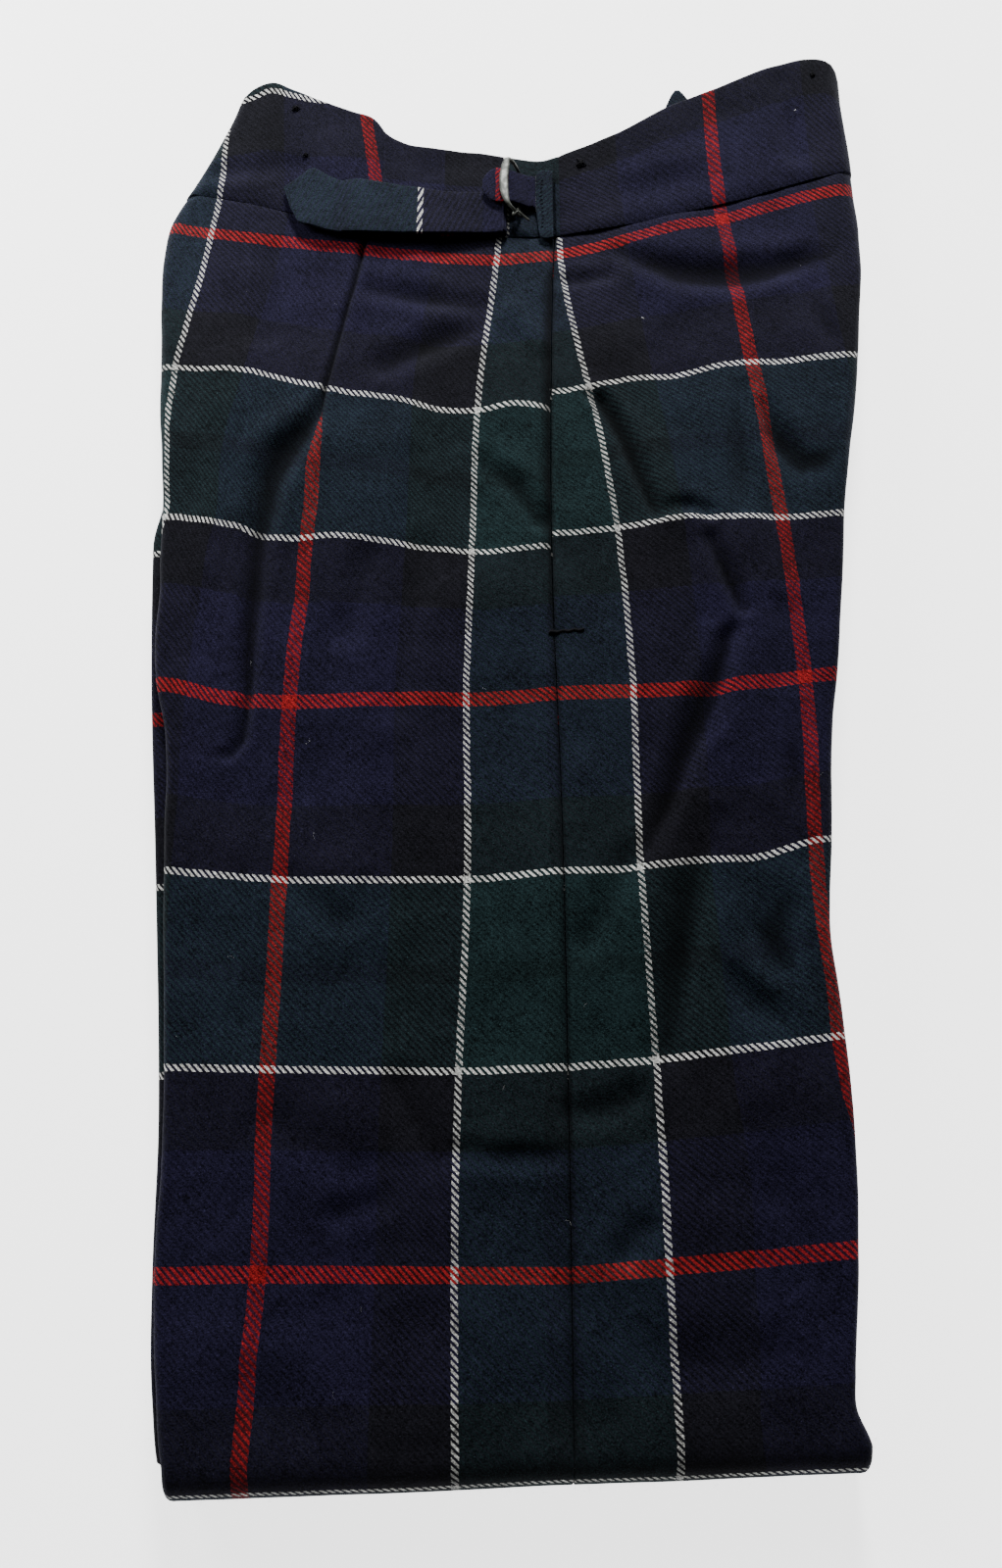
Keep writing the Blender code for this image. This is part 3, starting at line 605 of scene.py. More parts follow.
# The same for the shade painted into the cloth's colour there. A sum past 1 counts as 1.
SEAM_SHADE, DART_SHADE, POCKET_SHADE = ((0, 0.7, 1.3),), ((-0.3, 1.1, 1.2),), ((-1.6, 0.7, 2.6),)
# The uprights' tables start here, and below it the lines run on straight
TABLE_FOOT = -320
# Columns of the back panel on either side of the dart, and about how far apart they lie
DART_COLUMNS, DART_STEPS = (50, 32), (110 / 50, 70 / 32)
FRONT_COLUMNS = 66


def cloth_relief(x, y, from_edge):
    """How far the upper leg's face stands above or below its plain form."""
    fade = smooth((from_edge - 20) / 14)
    near = smooth((from_edge - 3) / 12)
    relief = crease_height(LEG_PATHS, x, y) * (0.35 * near + 0.65 * fade)
    broad, small, least = LEG_WAVES
    relief += near * (broad[0] * rolling(x, y * 0.7, *broad[1:]) + small[0] * rolling(x, y, *small[1:]))
    relief = np.where(relief < 0, -DEEPEST * np.tanh(-relief / DEEPEST), relief)
    return relief + least[0] * rolling(x, y, *least[1:])


def seam_relief(side, from_seam, y):
    """The pressed side seam, and the pocket mouth in it, whose front lip stands over the back."""
    pocket = smooth((y - POCKET_FOOT) / 8) * smooth((POCKET_HEAD - y) / 14)
    groove = humps(from_seam, SEAM_GROOVE)
    if side < 0:
        return groove + pocket * humps(from_seam, POCKET_BACK) + humps(from_seam, BACK_OF_SEAM)
    return groove + pocket * humps(from_seam, POCKET_LIP)


def dart_relief(x, y):
    """The dart: a pressed line in the back panel, with fuller cloth on both sides."""
    return smooth((y - DART_END) / DART_FADE) * humps(x - read(BACK_UPRIGHTS, "split", y), DART_FORM)


def painted_crease_shade(side, x, y, start):
    """How much shade is painted into the colour at each point of a row, in creases, seams and the dart, from
    0 to 1.
    """
    marks = smooth(-1.3 * crease_height(LEG_PATHS, x, y) / DEEPEST - 0.1)
    marks += humps(x - start, SEAM_SHADE)
    if side < 0:
        dart = x - read(BACK_UPRIGHTS, "split", y)
        marks += smooth((y - DART_END) / DART_FADE) * humps(dart, DART_SHADE)
        pocket = smooth((y - 20) / 60) * smooth((POCKET_HEAD - y) / 14)
        marks += pocket * humps(x - start, POCKET_SHADE)
    return np.clip(marks, 0, 1)


def leg_cloth(name, side, material):
    """One near panel, from the waistband seam over the fold to the hem, with its crease and tuck."""
    points, first, second, painted_shade = [], [], [], []
    rows = leg_rows(BAND_SEAM - 0.02)
    split = None
    for row in rows:
        start = row.seam + side * SEAM_GAP / 2
        x_turn, depth_turn, rolled_turn = crease_profile(row, side, TUCK)
        if side < 0:
            at = row.unrolled(np.array([-90.0]))[0]
            line = float(read(BACK_UPRIGHTS, "split", max(at, TABLE_FOOT)))
            near = resample(gathered(start, line, DART_STEPS[0], 0.75, 0.75), DART_COLUMNS[0])
            far = resample(gathered(line, x_turn[0], DART_STEPS[1], 0.75, 0.2), DART_COLUMNS[1])
            flat = np.concatenate([near, far[1:]])[:-1]
            split = len(near) - 1
        else:
            flat = resample(gathered(start, x_turn[0], COLUMN_STEP, 0.75, 0.2), FRONT_COLUMNS)[:-1]
        x = np.concatenate([flat, x_turn])
        rolled = np.concatenate([flat, rolled_turn])
        depth = np.concatenate([0 * flat, depth_turn])
        y = row.unrolled(rolled)
        row_shade = np.zeros(len(x))
        on_top = np.arange(len(x)) < len(flat)
        if row.kind == "top":
            # Shade painted into the cloth's colour, in creases, along the seam, at the dart and at the pocket
            # mouth
            row_shade = painted_crease_shade(side, x, y, start) * on_top
            from_edge = np.minimum(x - row.left, row.right - x)
            from_edge[len(flat) + TURN_STEPS // 2 :] = 0
            relief = cloth_relief(x, y, from_edge)
            relief += seam_relief(side, np.abs(x - start), y) * on_top
            if side < 0:
                relief += dart_relief(x, y) * on_top
            relief += humps(BAND_SEAM - row.at, UNDER_BAND)
            toward_fold = smooth((y - FOLD_MIDDLE - FOLD_RADIUS) / 12)
            depth = depth + relief * (0.25 + 0.75 * toward_fold) * (np.arange(len(x)) <= len(flat) + 3)
        elif row.kind == "fold":
            fade = 0.25 * (1 - row.at / math.pi)
            depth = depth + fade * cloth_relief(x, y, np.full(len(x), 40.0)) * on_top
        from_seam = np.abs(x - row.seam)
        wander = 0.5 * rolling(np.full(len(x), side * 9.0), y, 21, 2.0) * smooth((from_seam - 60) / 60)
        points.append(row.place(x + wander, depth))
        painted_shade.append(row_shade)
        levels = levels_at(BACK_LEVELS if side < 0 else FRONT_LEVELS, rolled, y)
        reach = np.maximum(y, TABLE_FOOT)
        if side < 0:
            first.append(np.stack([back_uprights(rolled, reach, True), levels], axis=-1))
            second.append(np.stack([back_uprights(rolled, reach, False), levels], axis=-1))
        else:
            first.append(np.stack([front_uprights(rolled, reach), levels], axis=-1))
    points, first, painted_shade = np.array(points), np.array(first), np.array(painted_shade)
    if side < 0:
        piece = grid_object(name, points, first, material, split, np.array(second), painted_shade)
    else:
        piece = grid_object(name, points[:, ::-1], first[:, ::-1], material, painted_shade=painted_shade[:, ::-1])
    return thicken(piece, CLOTH, 0.45)


def resample(places, count):
    """The same spread of places with a fixed count, so that each row of a grid has as many."""
    return np.interp(np.linspace(0, 1, count + 1), np.linspace(0, 1, len(places)), places)


# The waistband's top edge is rounded with this radius
EDGE_ROUND = 1.1
# Where the band's cloth lies in the sett: how fast it runs across, the places where it stops short of a white
# line, the side piece's place at x = 0, the place at the band's foot and the front piece's run from there
BAND_SCALE, BAND_CLEAR_ACROSS, BAND_CLEAR_ALONG = 0.93, 156.0, -74.0
SIDE_BAND_PLACE, BAND_FOOT, FRONT_BAND_RISE = 80.0, -10, 50


def band_rows():
    rounded = [SIDE_WAIST - EDGE_ROUND * (1 - math.cos(math.radians(a))) for a in (0, 30, 60, 90)]
    return rounded + list(np.linspace(SIDE_WAIST - 3, BAND_SEAM + 0.02, 22))


def band_cloth(name, side, start, end, count, cloth_at, material):
    """A near waistband piece: a flat stretch and, where side says so, the turn round the crease."""
    points, cloth = [], []
    for v in band_rows():
        row = Row("top", v)
        drop = SIDE_WAIST - v
        lowered = EDGE_ROUND - math.sqrt(max(0.0, EDGE_ROUND**2 - max(0.0, EDGE_ROUND - drop) ** 2))
        stop = end
        if side:
            x_turn, depth_turn, rolled_turn = crease_profile(row, side, TUCK, BAND_PROUD)
            stop = x_turn[0]
        flat = resample(gathered(start, stop, COLUMN_STEP, 0.5, 0.3), count)
        x, rolled, depth = flat, flat, np.full(len(flat), BAND_PROUD)
        if side:
            x = np.concatenate([flat[:-1], x_turn])
            rolled = np.concatenate([flat[:-1], rolled_turn])
            depth = np.concatenate([depth[:-1], depth_turn])
        y = row.unrolled(rolled)
        on_top = np.arange(len(x)) < len(flat)
        ends = np.minimum(np.abs(x - start), np.abs(x - stop) if not side else 99)
        relief = crease_height(BAND_PATHS, x, y)
        relief += sum(height * rolling(x, y, scale, seed) for height, scale, seed in BAND_WAVES)
        relief += humps(v - BAND_SEAM, BAND_ROLL) + humps(ends, BAND_END)
        depth = depth + on_top * (relief - lowered)
        points.append(row.place(x, depth))
        cloth.append(np.stack(cloth_at(rolled, y, v), axis=-1))
    points, cloth = np.array(points), np.array(cloth)
    if points[0, 0, 0] < points[0, 1, 0]:
        points, cloth = points[:, ::-1], cloth[:, ::-1]
    return thicken(grid_object(name, points, cloth, material), BAND_CLOTH, 0.5)


def back_band_cloth(x, y, v):
    red = read(BAND_RED, "across", y)
    white = read(BACK_UPRIGHTS, "white_1", y)
    across = -WHITE_AT + WHITE_AT * (x - white) / (red - white)
    low, high = read(BACK_LEVELS, "red_1", x, key="across"), read(TOP_WHITE, "along", x, key="across")
    return across, -WHITE_AT * (y - low) / (high - low)


def side_band_cloth(x, y, v):
    level = read(BACK_LEVELS, "red_1", x, key="across") - y
    return x + SIDE_BAND_PLACE, np.maximum(level, BAND_CLEAR_ALONG)


def front_band_cloth(x, y, v):
    share = (v - BAND_SEAM) / (SIDE_WAIST - BAND_SEAM)
    across = SETT + BAND_SCALE * (x - read(FRONT_UPRIGHTS, "red_5", y))
    return np.maximum(across, BAND_CLEAR_ACROSS), BAND_FOOT - FRONT_BAND_RISE * share + 0 * x


def far_band_cloth(material):
    """The far side of the waist, flat on the surface. One fold of it shows past the near edge."""
    points, cloth = [], []
    for v in band_rows():
        row = Row("top", v)
        # It ends a seam's gap away from the near band's turned-in edges and is flush with them there
        reach = row.radius + BAND_PROUD / 2 + TUCK + SEAM_GAP
        x = np.linspace(row.right - reach, row.left + reach, 120)
        from_end = np.minimum(np.abs(x - x[0]), np.abs(x - x[-1]))
        y = row.unrolled(x)
        past = float(smooth((v - 242) / 28))
        y = y + past * (FAR_BAND_PAST * smooth(from_end / 8) + FAR_FOLD_PAST * hump(x - FAR_FOLD_AT, 7))
        z = BAND_CLOTH + 0 * x - 0.4 * float(smooth((v - 264) / 6))
        points.append(np.stack([x, y, z], axis=-1))
        across = SETT + BAND_SCALE * (x - FAR_RED_AT)
        across = np.where((x > 10) & (v > 255), np.maximum(across, BAND_CLEAR_ACROSS), across)
        cloth.append(np.stack([across, BAND_FOOT - 1.1 * (y - 225)], axis=-1))
    made = grid_object("far_waistband_cloth", np.array(points), np.array(cloth), material)
    return thicken(made, BAND_CLOTH, 0.8)


def half_round(centre, side, radius, middle):
    angles = [math.pi * i / TURN_STEPS for i in range(1, TURN_STEPS)]
    return [(centre + side * radius * math.sin(a), middle + radius * math.cos(a)) for a in angles]


class HiddenSection:
    """A cut across the hidden cloth of one row: the near leg's layer, then the far leg's."""

    def __init__(self, row, near, far, room, far_edges):
        near_top, near_bottom = near
        far_top, far_bottom = far
        radius, middle = (near_top - near_bottom) / 2, (near_top + near_bottom) / 2
        past_tuck = row.outer_radius + TUCK + 1.2
        left, right = row.left + row.outer_radius, row.right - row.outer_radius
        inner_left, inner_right = row.left + past_tuck, row.right - past_tuck
        shoulder = max(near_top - room, near_bottom + 0.8)
        across = np.linspace(inner_left + 8, inner_right - 8, HIDDEN_COLUMNS)
        over = [(left, near_top), (inner_left, shoulder)]
        over += [(float(x), near_top - room) for x in across]
        over += [(inner_right, shoulder), (right, near_top)]
        near_ends, far_ends = [], []
        for side, edge, inner in ((1, right, inner_right), (-1, left, inner_left)):
            between = (near_bottom + far_top) / 2
            turn = half_round(edge, side, radius, middle)
            near_ends.append([*turn, (edge, near_bottom), (inner, near_bottom), (inner, between)])
            if far_edges:
                far_radius, far_middle = (far_top - far_bottom) / 2, (far_top + far_bottom) / 2
                far_edge = far_edges[0] - far_radius if side > 0 else far_edges[1] + far_radius
                turn = half_round(far_edge, side, far_radius, far_middle)
                far_ends.append([(inner, far_top), (far_edge, far_top), *turn, (far_edge, far_bottom)])
            else:
                wall = np.linspace(far_top, far_bottom, TURN_STEPS + 2)
                far_ends.append([(inner, float(depth)) for depth in wall])
        beneath = [(float(x), far_bottom) for x in across[::-1]]
        self.row = row
        self.near = [*over, *near_ends[0]], near_ends[1][::-1]
        self.far = far_ends[0] + beneath + far_ends[1][::-1]

    def ring(self, far_row):
        """The points in order, their places in the sett, and where the far layer's part starts and ends."""
        points, cloth = [], []
        for row, part in ((self.row, self.near[0]), (far_row, self.far), (self.row, self.near[1])):
            x, depth = np.array(part).T
            points.append(row.place(x, depth))
            y = row.unrolled(x)
            around = x - row.far_left - 60 + depth + STACK / 2
            cloth.append(np.stack([around, np.interp(y, FAR_LEVELS["along"], FAR_LEVELS["place"])], axis=-1))
        marks = (len(points[0]), len(points[0]) + len(points[1]))
        return np.concatenate(points), np.concatenate(cloth), marks


def hidden_rings():
    inset, over_band = CLOTH + LAYER_GAP, BAND_CLOTH + LAYER_GAP
    under_seat = STACK / 2 + FOLD_GAP
    band = [(float(v), over_band) for v in np.linspace(HIDDEN_END, BAND_SEAM + SEAM_GAP / 2, 8)]
    low, high = REST_BLOCK
    steps = [(high + 0.1, over_band), (high, 0.0)]
    steps += [(float(v), 0.0) for v in np.linspace(high - 5, low + 4, 8)]
    steps += [(low, 0.0), (low - 0.1, under_seat)]
    steps += [(float(v), under_seat) for v in np.linspace(low - 4, FAR_LEG_TOP + 1, 18)]
    # One row lies between the band and the block that rests on the surface
    for v, bottom in band + [(222.5, over_band)] + steps:
        row = Row("top", v)
        in_band = v > high - 5
        row.outer_radius = row.radius + (BAND_PROUD / 2 if v > BAND_SEAM else 0)
        wall = over_band if in_band else inset
        near = (BAND_PROUD * (v > BAND_SEAM) - wall, -2 * row.radius + wall)
        far_bottom = bottom - float(top_level(v))
        middle = (near[1] * 2 + far_bottom) / 3
        room = 0.4 if v > BAND_SEAM else CREASE_ROOM * float(smooth((BAND_SEAM - v) / 20))
        yield HiddenSection(row, near, (middle, far_bottom), room, None).ring(row)
    axis, inner_hem = FOLD_MIDDLE + FOLD_RADIUS, NEAR_HEM - HEM_INSET
    for row in leg_rows(FAR_LEG_TOP, 4.0, 60):
        near = (-inset, -2 * row.radius + inset)
        far = (-LEG - LAYER_GAP, -2 * LEG + FOLD_GAP)
        turned = {"top": 0.0, "fold": row.at / math.pi, "under": 1.0}[row.kind]
        far_row = row
        if row.kind == "under":
            row = Row("under", row.at * (inner_hem - axis) / (NEAR_HEM - axis))
            far_row = Row("under", row.at * (FAR_HEM - axis) / (inner_hem - axis))
        out = smooth((FAR_LEG_TOP - row.at) / 30) if row.kind == "top" else 1.0
        edges = (row.right - FAR_INSET, row.left + float(out) * (row.far_left - row.left))
        yield HiddenSection(row, near, far, CREASE_ROOM - (CREASE_ROOM - 0.3) * turned, edges).ring(far_row)


def mouth_faces(first, last, count):
    """The upper end's faces, cut at each column so that they follow the dip of the waist."""
    wall = TURN_STEPS + 2
    lowest = first + wall + HIDDEN_COLUMNS - 1
    faces = [list(range(HIDDEN_COLUMNS + 2, first))]
    faces.append([HIDDEN_COLUMNS + 1, HIDDEN_COLUMNS + 2, *range(first - 1, first + wall + 1)])
    faces += [[i + 2, i + 3, lowest - i - 1, lowest - i] for i in range(HIDDEN_COLUMNS - 1)]
    faces.append([1, 2, *range(lowest, last + 1)])
    faces.append([0, 1, *range(last, count)])
    return faces


def band_of_faces(low, high, around):
    """Faces between two equal loops of points, whose first points have these numbers."""
    return [(low + j, low + (j + 1) % around, high + (j + 1) % around, high + j) for j in range(around)]


def hidden_cloth(material):
    """The layers inside the near panels, as one piece, with each layer's edge shown."""
    rings = list(hidden_rings())
    count = len(rings[0][0])
    verts = np.concatenate([ring[0] for ring in rings])
    cloth = np.concatenate([ring[1] for ring in rings])
    faces = []
    for k in range(len(rings) - 1):
        faces += band_of_faces(k * count, (k + 1) * count, count)
    faces += [face[::-1] for face in mouth_faces(*rings[0][2], count)]
    first, last = rings[-1][2]
    hem = [(len(rings) - 1) * count + i for i in range(count)]
    between = [hem[first - 1], hem[first], hem[last - 1], hem[last]]
    faces += [hem[:first] + hem[last:], between, hem[first:last]]
    corners = np.concatenate([cloth[list(face)] for face in faces])
    return mesh_object("inner_layers", verts, faces, corners, material)


# The adjuster. Heights are above the waistband's face.
STRAP_PLAN = table(
    "across along half_width",
    (-114, 248.7, 0.9),
    (-110, 244.9, 8.9),
    (-106, 242.6, 15.2),
    (-102.4, 243.5, 18.0),
    (-99.6, 243.4, 18.6),
    (-92, 239.2, 17.6),
    (-85, 237.0, 16.6),
    (-77, 237.3, 17.2),
    (-56, 234.8, 15.6),
    (-35, 233.6, 13.6),
    (-3, 234.4, 12.0),
)
STRAP_RUN = table(
    "across height",
    (-92, 0.5), (-60, 0.4), (-30, 0.4), (-5.6, 0.4), (-4.1, 0.9), (-3.5, 2.2), (-4.1, 3.5),
    (-5.6, 4.0), (-20, 4.1), (-36, 5.0), (-58, 5.6), (-80, 5.2), (-86, 4.4), (-94, 4.6),
    (-100, 4.2), (-106, 3.6), (-110, 3.2), (-114, 2.9),
)
# The run's row where the strap leaves its turn, the steps between rows, and its tilt there
STRAP_TIP, STRAP_STEPS, STRAP_TILT = 7, 8, 0.08
# Where the white line crosses the strap, and places in the sett along the strap and the tab
STRAP_WHITE = -47.5
STRAP_SETT, TAB_SETT, TAB_BASE_SETT = 193, (6.2, 14), (200, 98)
TAB_MIDDLE, STRAP_MIDDLE, TAB_BASE_END = 236, 240, 10.9
TAB_RUN = table(
    "across height along half_width",
    (19.4, 2.0, 241.0, 20.5),
    (13.0, 2.0, 241.5, 20.0),
    (10.8, 2.3, 248.0, 10.0),
    (7.0, 3.0, 248.0, 9.4),
    (3.4, 4.7, 248.0, 9.2),
    (-1.5, 6.6, 248.2, 9.4),
    (-7.0, 7.0, 248.4, 10.2),
    (-11.0, 6.9, 248.6, 9.0),
    (-13.8, 6.7, 248.7, 6.2),
    (-15.4, 6.6, 248.8, 3.0),
)
BUCKLE_RING = table(
    "across along height half_width half_thick",
    (-2.8, 262.6, 8.0, 1.3, 0.6),
    (-4.2, 258.0, 8.3, 2.0, 0.55),
    (-4.9, 251.0, 8.4, 2.2, 0.55),
    (-4.7, 243.5, 8.4, 2.1, 0.55),
    (-3.6, 238.0, 8.2, 1.5, 0.6),
    (-2.0, 235.2, 7.4, 0.8, 0.8),
    (0.0, 233.6, 6.0, 0.8, 0.8),
    (1.8, 232.4, 3.8, 0.8, 0.8),
    (2.8, 233.6, 1.9, 0.8, 0.8),
    (2.8, 237.5, 1.3, 0.8, 0.8),
    (2.8, 246.0, 1.3, 0.8, 0.8),
    (2.8, 254.5, 1.3, 0.8, 0.8),
    (2.8, 258.0, 2.0, 0.8, 0.8),
    (2.0, 259.6, 4.0, 0.8, 0.8),
    (-0.4, 261.6, 7.0, 0.8, 0.8),
)
PRONG_AT = 6
PRONG_POINT = (7.6, 229.0, 3.4)
PRONG_RADIUS, EYE_RADIUS = 0.55, 1.65


def band_face(x, y):
    seam = band_line(x)
    row = BAND_SEAM + (y - seam) * (SIDE_WAIST - BAND_SEAM) / (waist_edge(x) - seam)
    return top_level(row) + BAND_PROUD


def through(points, steps, closed=False):
    """Places along a smooth curve that passes through rows of numbers."""
    points = np.asarray(points, float)
    count = len(points)
    last = count if closed else count - 1
    found = []
    for i in range(last):
        if closed:
            a, b, c, d = (points[(i + k) % count] for k in (-1, 0, 1, 2))
        else:
            a, b, c, d = (points[min(max(i + k, 0), count - 1)] for k in (-1, 0, 1, 2))
        for t in np.arange(steps) / steps:
            curve = (2 * a - 5 * b + 4 * c - d) * t**2 + (3 * b - a - 3 * c + d) * t**3
            found.append(0.5 * (2 * b + (c - a) * t + curve))
    if not closed:
        found.append(points[-1])
    return np.array(found)


def ribbon_cloth(name, run, thickness, cloth_at, material):
    """A strip of doubled cloth. run holds (across, height, along, half width, tilt) along its outer side."""
    shares = np.linspace(-1, 1, 21)
    points = []
    for x, height, y, half_width, tilt in run:
        at = y + shares * half_width
        z = band_face(x, at) + height - tilt * shares * half_width - 0.25 * np.abs(shares) ** 10
        points.append(np.stack([x + 0 * at, at, z], axis=-1))
    points = np.array(points)
    middle = points[:, len(shares) // 2]
    reach = np.concatenate([[0], np.cumsum(np.linalg.norm(np.diff(middle, axis=0), axis=1))])
    swell = 0.22 * rolling(points[..., 0], points[..., 1], 9, 5.0)
    points[..., 2] += swell
    cloth = np.stack(cloth_at(points, reach[:, None] + 0 * points[..., 0]), axis=-1)
    return thicken(grid_object(name, points, cloth, material), thickness, 0.45)


def strap_cloth(material):
    run, free_from = [], STRAP_TIP * STRAP_STEPS
    for i, (x, height) in enumerate(through([tuple(r) for r in STRAP_RUN], STRAP_STEPS)):
        plan = (np.interp(x, STRAP_PLAN["across"], STRAP_PLAN[name]) for name in ("along", "half_width"))
        along, half_width = map(float, plan)
        if i < free_from:
            half_width = float(STRAP_PLAN["half_width"][-1]) - 0.5
        free = smooth((STRAP_RUN["across"][STRAP_TIP] - x) / 30) if i >= free_from else 0.0
        run.append((x, height, along, half_width, STRAP_TILT * float(free)))
    white = min(range(free_from, len(run)), key=lambda i: abs(run[i][0] - STRAP_WHITE))

    def cloth_at(points, reach):
        return 2 * WHITE_AT + reach[white] - reach, STRAP_SETT + 0.4 * (points[..., 1] - STRAP_MIDDLE)

    return ribbon_cloth("adjuster_strap_cloth", run, STRAP_CLOTH, cloth_at, material)


def tab_cloth(material):
    run = through([(r["across"], r["height"], r["along"], r["half_width"], 0.0) for r in TAB_RUN], 7)

    def cloth_at(points, reach):
        x, y = points[..., 0], points[..., 1]
        base = x > TAB_BASE_END
        across = np.where(base, TAB_BASE_SETT[0] + x, x + TAB_SETT[0])
        return across, np.where(base, TAB_BASE_SETT[1] + y - STRAP_MIDDLE, TAB_SETT[1] + y - TAB_MIDDLE)

    return ribbon_cloth("buckle_tab_cloth", run, TAB_CLOTH, cloth_at, material)


def loft(name, loops, material, closed=True):
    """A surface through equal loops of points, joined end to end or capped."""
    count, around = len(loops), len(loops[0])
    faces = []
    for i in range(count if closed else count - 1):
        faces += band_of_faces(i * around, (i + 1) % count * around, around)
    if not closed:
        faces += [list(range(around))[::-1], [(count - 1) * around + j for j in range(around)]]
    made = mesh_object(name, np.concatenate(loops), faces, None, material)
    mesh = bmesh.new()
    mesh.from_mesh(made.data)
    bmesh.ops.recalc_face_normals(mesh, faces=mesh.faces)
    mesh.to_mesh(made.data)
    mesh.free()
    return made


def ring_rows(steps):
    rows = []
    for r in BUCKLE_RING:
        level = float(band_face(r["across"], r["along"])) + r["height"]
        rows.append((r["across"], r["along"], level, r["half_width"], r["half_thick"]))
    return through(rows, steps, closed=True)


def buckle_frame(material):
    rows = ring_rows(8)
    loops = []
    for i, row in enumerate(rows):
        tangent = rows[(i + 1) % len(rows)][:3] - rows[i - 1][:3]
        tangent /= np.linalg.norm(tangent)
        beside = np.cross(tangent, (0.0, 0.0, 1.0))
        beside /= np.linalg.norm(beside)
        up = np.cross(beside, tangent)
        angles = np.linspace(0, 2 * math.pi, 24, endpoint=False)
        flat = 0.75 if row[3] > row[4] + 0.2 else 1.0
        wide, thick = np.cos(angles), np.sin(angles)
        wide, thick = np.sign(wide) * np.abs(wide) ** flat, np.sign(thick) * np.abs(thick) ** flat
        loops.append(row[:3] + row[3] * wide[:, None] * beside + row[4] * thick[:, None] * up)
    return loft("buckle_ring", loops, material)


class Threads:
    """Many fine round threads gathered into one mesh."""

    def __init__(self):
        self.verts, self.faces = [], []

    def add(self, path, radius, sides=5, taper=False):
        path = np.asarray(path, float)
        start = len(self.verts)
        tangents = np.gradient(path, axis=0)
        tangents /= np.linalg.norm(tangents, axis=1)[:, None]
        aside = np.cross(tangents[0], (0.31, 0.53, 0.79))
        for k, (place, tangent) in enumerate(zip(path, tangents)):
            aside = aside - tangent * (aside @ tangent)
            aside /= np.linalg.norm(aside)
            other = np.cross(tangent, aside)
            size = radius * (1 - 0.8 * k / (len(path) - 1)) if taper else radius
            for j in range(sides):
                a = 2 * math.pi * j / sides
                self.verts.append(place + size * (math.cos(a) * aside + math.sin(a) * other))
        for k in range(len(path) - 1):
            self.faces += band_of_faces(start + k * sides, start + (k + 1) * sides, sides)
        self.faces.append([start + j for j in range(sides)][::-1])
        self.faces.append([start + (len(path) - 1) * sides + j for j in range(sides)])

    def stitch(self, a, b, lift, radius):
        """One stitch that rises out of the cloth at a and goes down at b."""
        a, b = np.asarray(a, float), np.asarray(b, float)
        t = np.linspace(0, 1, 7)[:, None]
        arch = np.sin(math.pi * t) * (lift + 0.5) - 0.5
        self.add(a + (b - a) * t + arch * np.array([0.0, 0.0, 1.0]), radius)

    def piece(self, name, material):
        return mesh_object(name, self.verts, self.faces, None, material)


def buckle_prong(material):
    """A thin pin bent round the ring's lower corner, lying out over the strap's turn."""
    rows = ring_rows(1)[:, :3]
    before, after = rows[PRONG_AT : PRONG_AT + 2]
    eye, wire = (before + after) / 2, (after - before) / np.linalg.norm(after - before)
    point = np.array(PRONG_POINT)
    point[2] += float(band_face(point[0], point[1]))
    aim = point - eye
    aim -= wire * (aim @ wire)
    aim /= np.linalg.norm(aim)
    up = np.cross(wire, aim)
    angles = np.radians(np.linspace(285, 0, 24))
    path = [eye + EYE_RADIUS * (math.cos(a) * aim + math.sin(a) * up) for a in angles]
    path += [path[-1] + (point - path[-1]) * t for t in np.linspace(0.15, 1, 8)]
    pin = Threads()
    pin.add(path, PRONG_RADIUS, 12)
    return pin.piece("buckle_pin", material)


def leg_face(x, y):
    """Height of the upper leg's face at a place, creases left out."""
    row = y
    for _ in range(12):
        row = row + y - float(place_along(row, x))
    return float(top_level(row))


# Where stitches start, end before and repeat: over the tab's edge, beside it, and in the bar tack
TAB_EDGE, TAB_INNER, BAR_TACK = (223.5, 259, 1.55), (226, 256, 2.4), (14.6, 29.8, 0.5)
# across, along, half size of each mark left by brace-button threads
THREAD_MARKS = ((-111.2, 301.5, 2.0), (33.8, 267.6, 3.0), (154.3, 322.6, 1.3), (-104.8, 271.8, 0.8))
MARK_THREADS = 9
LOOP_AT, SPECK_AT, FIBRE_COUNT = (60.4, 169.7), (143.6, 299.3), 40


def sewing(material):
    """Overcast stitches on the buckle tab, the bar tack under the pocket, and brace-button threads."""
    chance = random.Random(4)
    threads = Threads()
    for y in np.arange(*TAB_EDGE):
        x = 16.8 + chance.uniform(-0.5, 0.4)
        level = float(band_face(18, y))
        start = (x, y + chance.uniform(-0.3, 0.3), level + 2.1)
        threads.stitch(start, (20.9 + chance.uniform(-0.2, 0.4), y - 0.5, level + 0.2), 0.5, 0.17)
    for y in np.arange(*TAB_INNER):
        x = 14.0 + 0.4 * math.sin(y / 4)
        level = float(band_face(x, y)) + 2.05
        threads.stitch((x - 0.9, y, level), (x + 0.8, y + 0.9 + chance.uniform(-0.3, 0.3), level), 0.15, 0.15)
    for x in np.arange(*BAR_TACK):
        y = 8.6 + 0.09 * (x - BAR_TACK[0]) + 0.25 * math.sin(x * 1.3)
        level = leg_face(x, y) + 0.35
        threads.stitch((x, y - 1.1, level - 0.4), (x + 0.3, y + 1.1, level - 0.4), 1.3, 0.36)
    for x, y, size in THREAD_MARKS:
        level = float(band_face(x, y))
        for _ in range(MARK_THREADS):
            a = chance.uniform(0.2, 1.3) + chance.choice((0, math.pi / 2))
            reach = size * chance.uniform(0.5, 1.0)
            dx, dy = reach * math.cos(a), reach * math.sin(a)
            ox, oy = x + chance.uniform(-0.8, 0.8), y + chance.uniform(-0.8, 0.8)
            threads.stitch((ox - dx, oy - dy, level), (ox + dx, oy + dy, level), 1.0, 0.26)
    return threads.piece("sewing_threads", material)


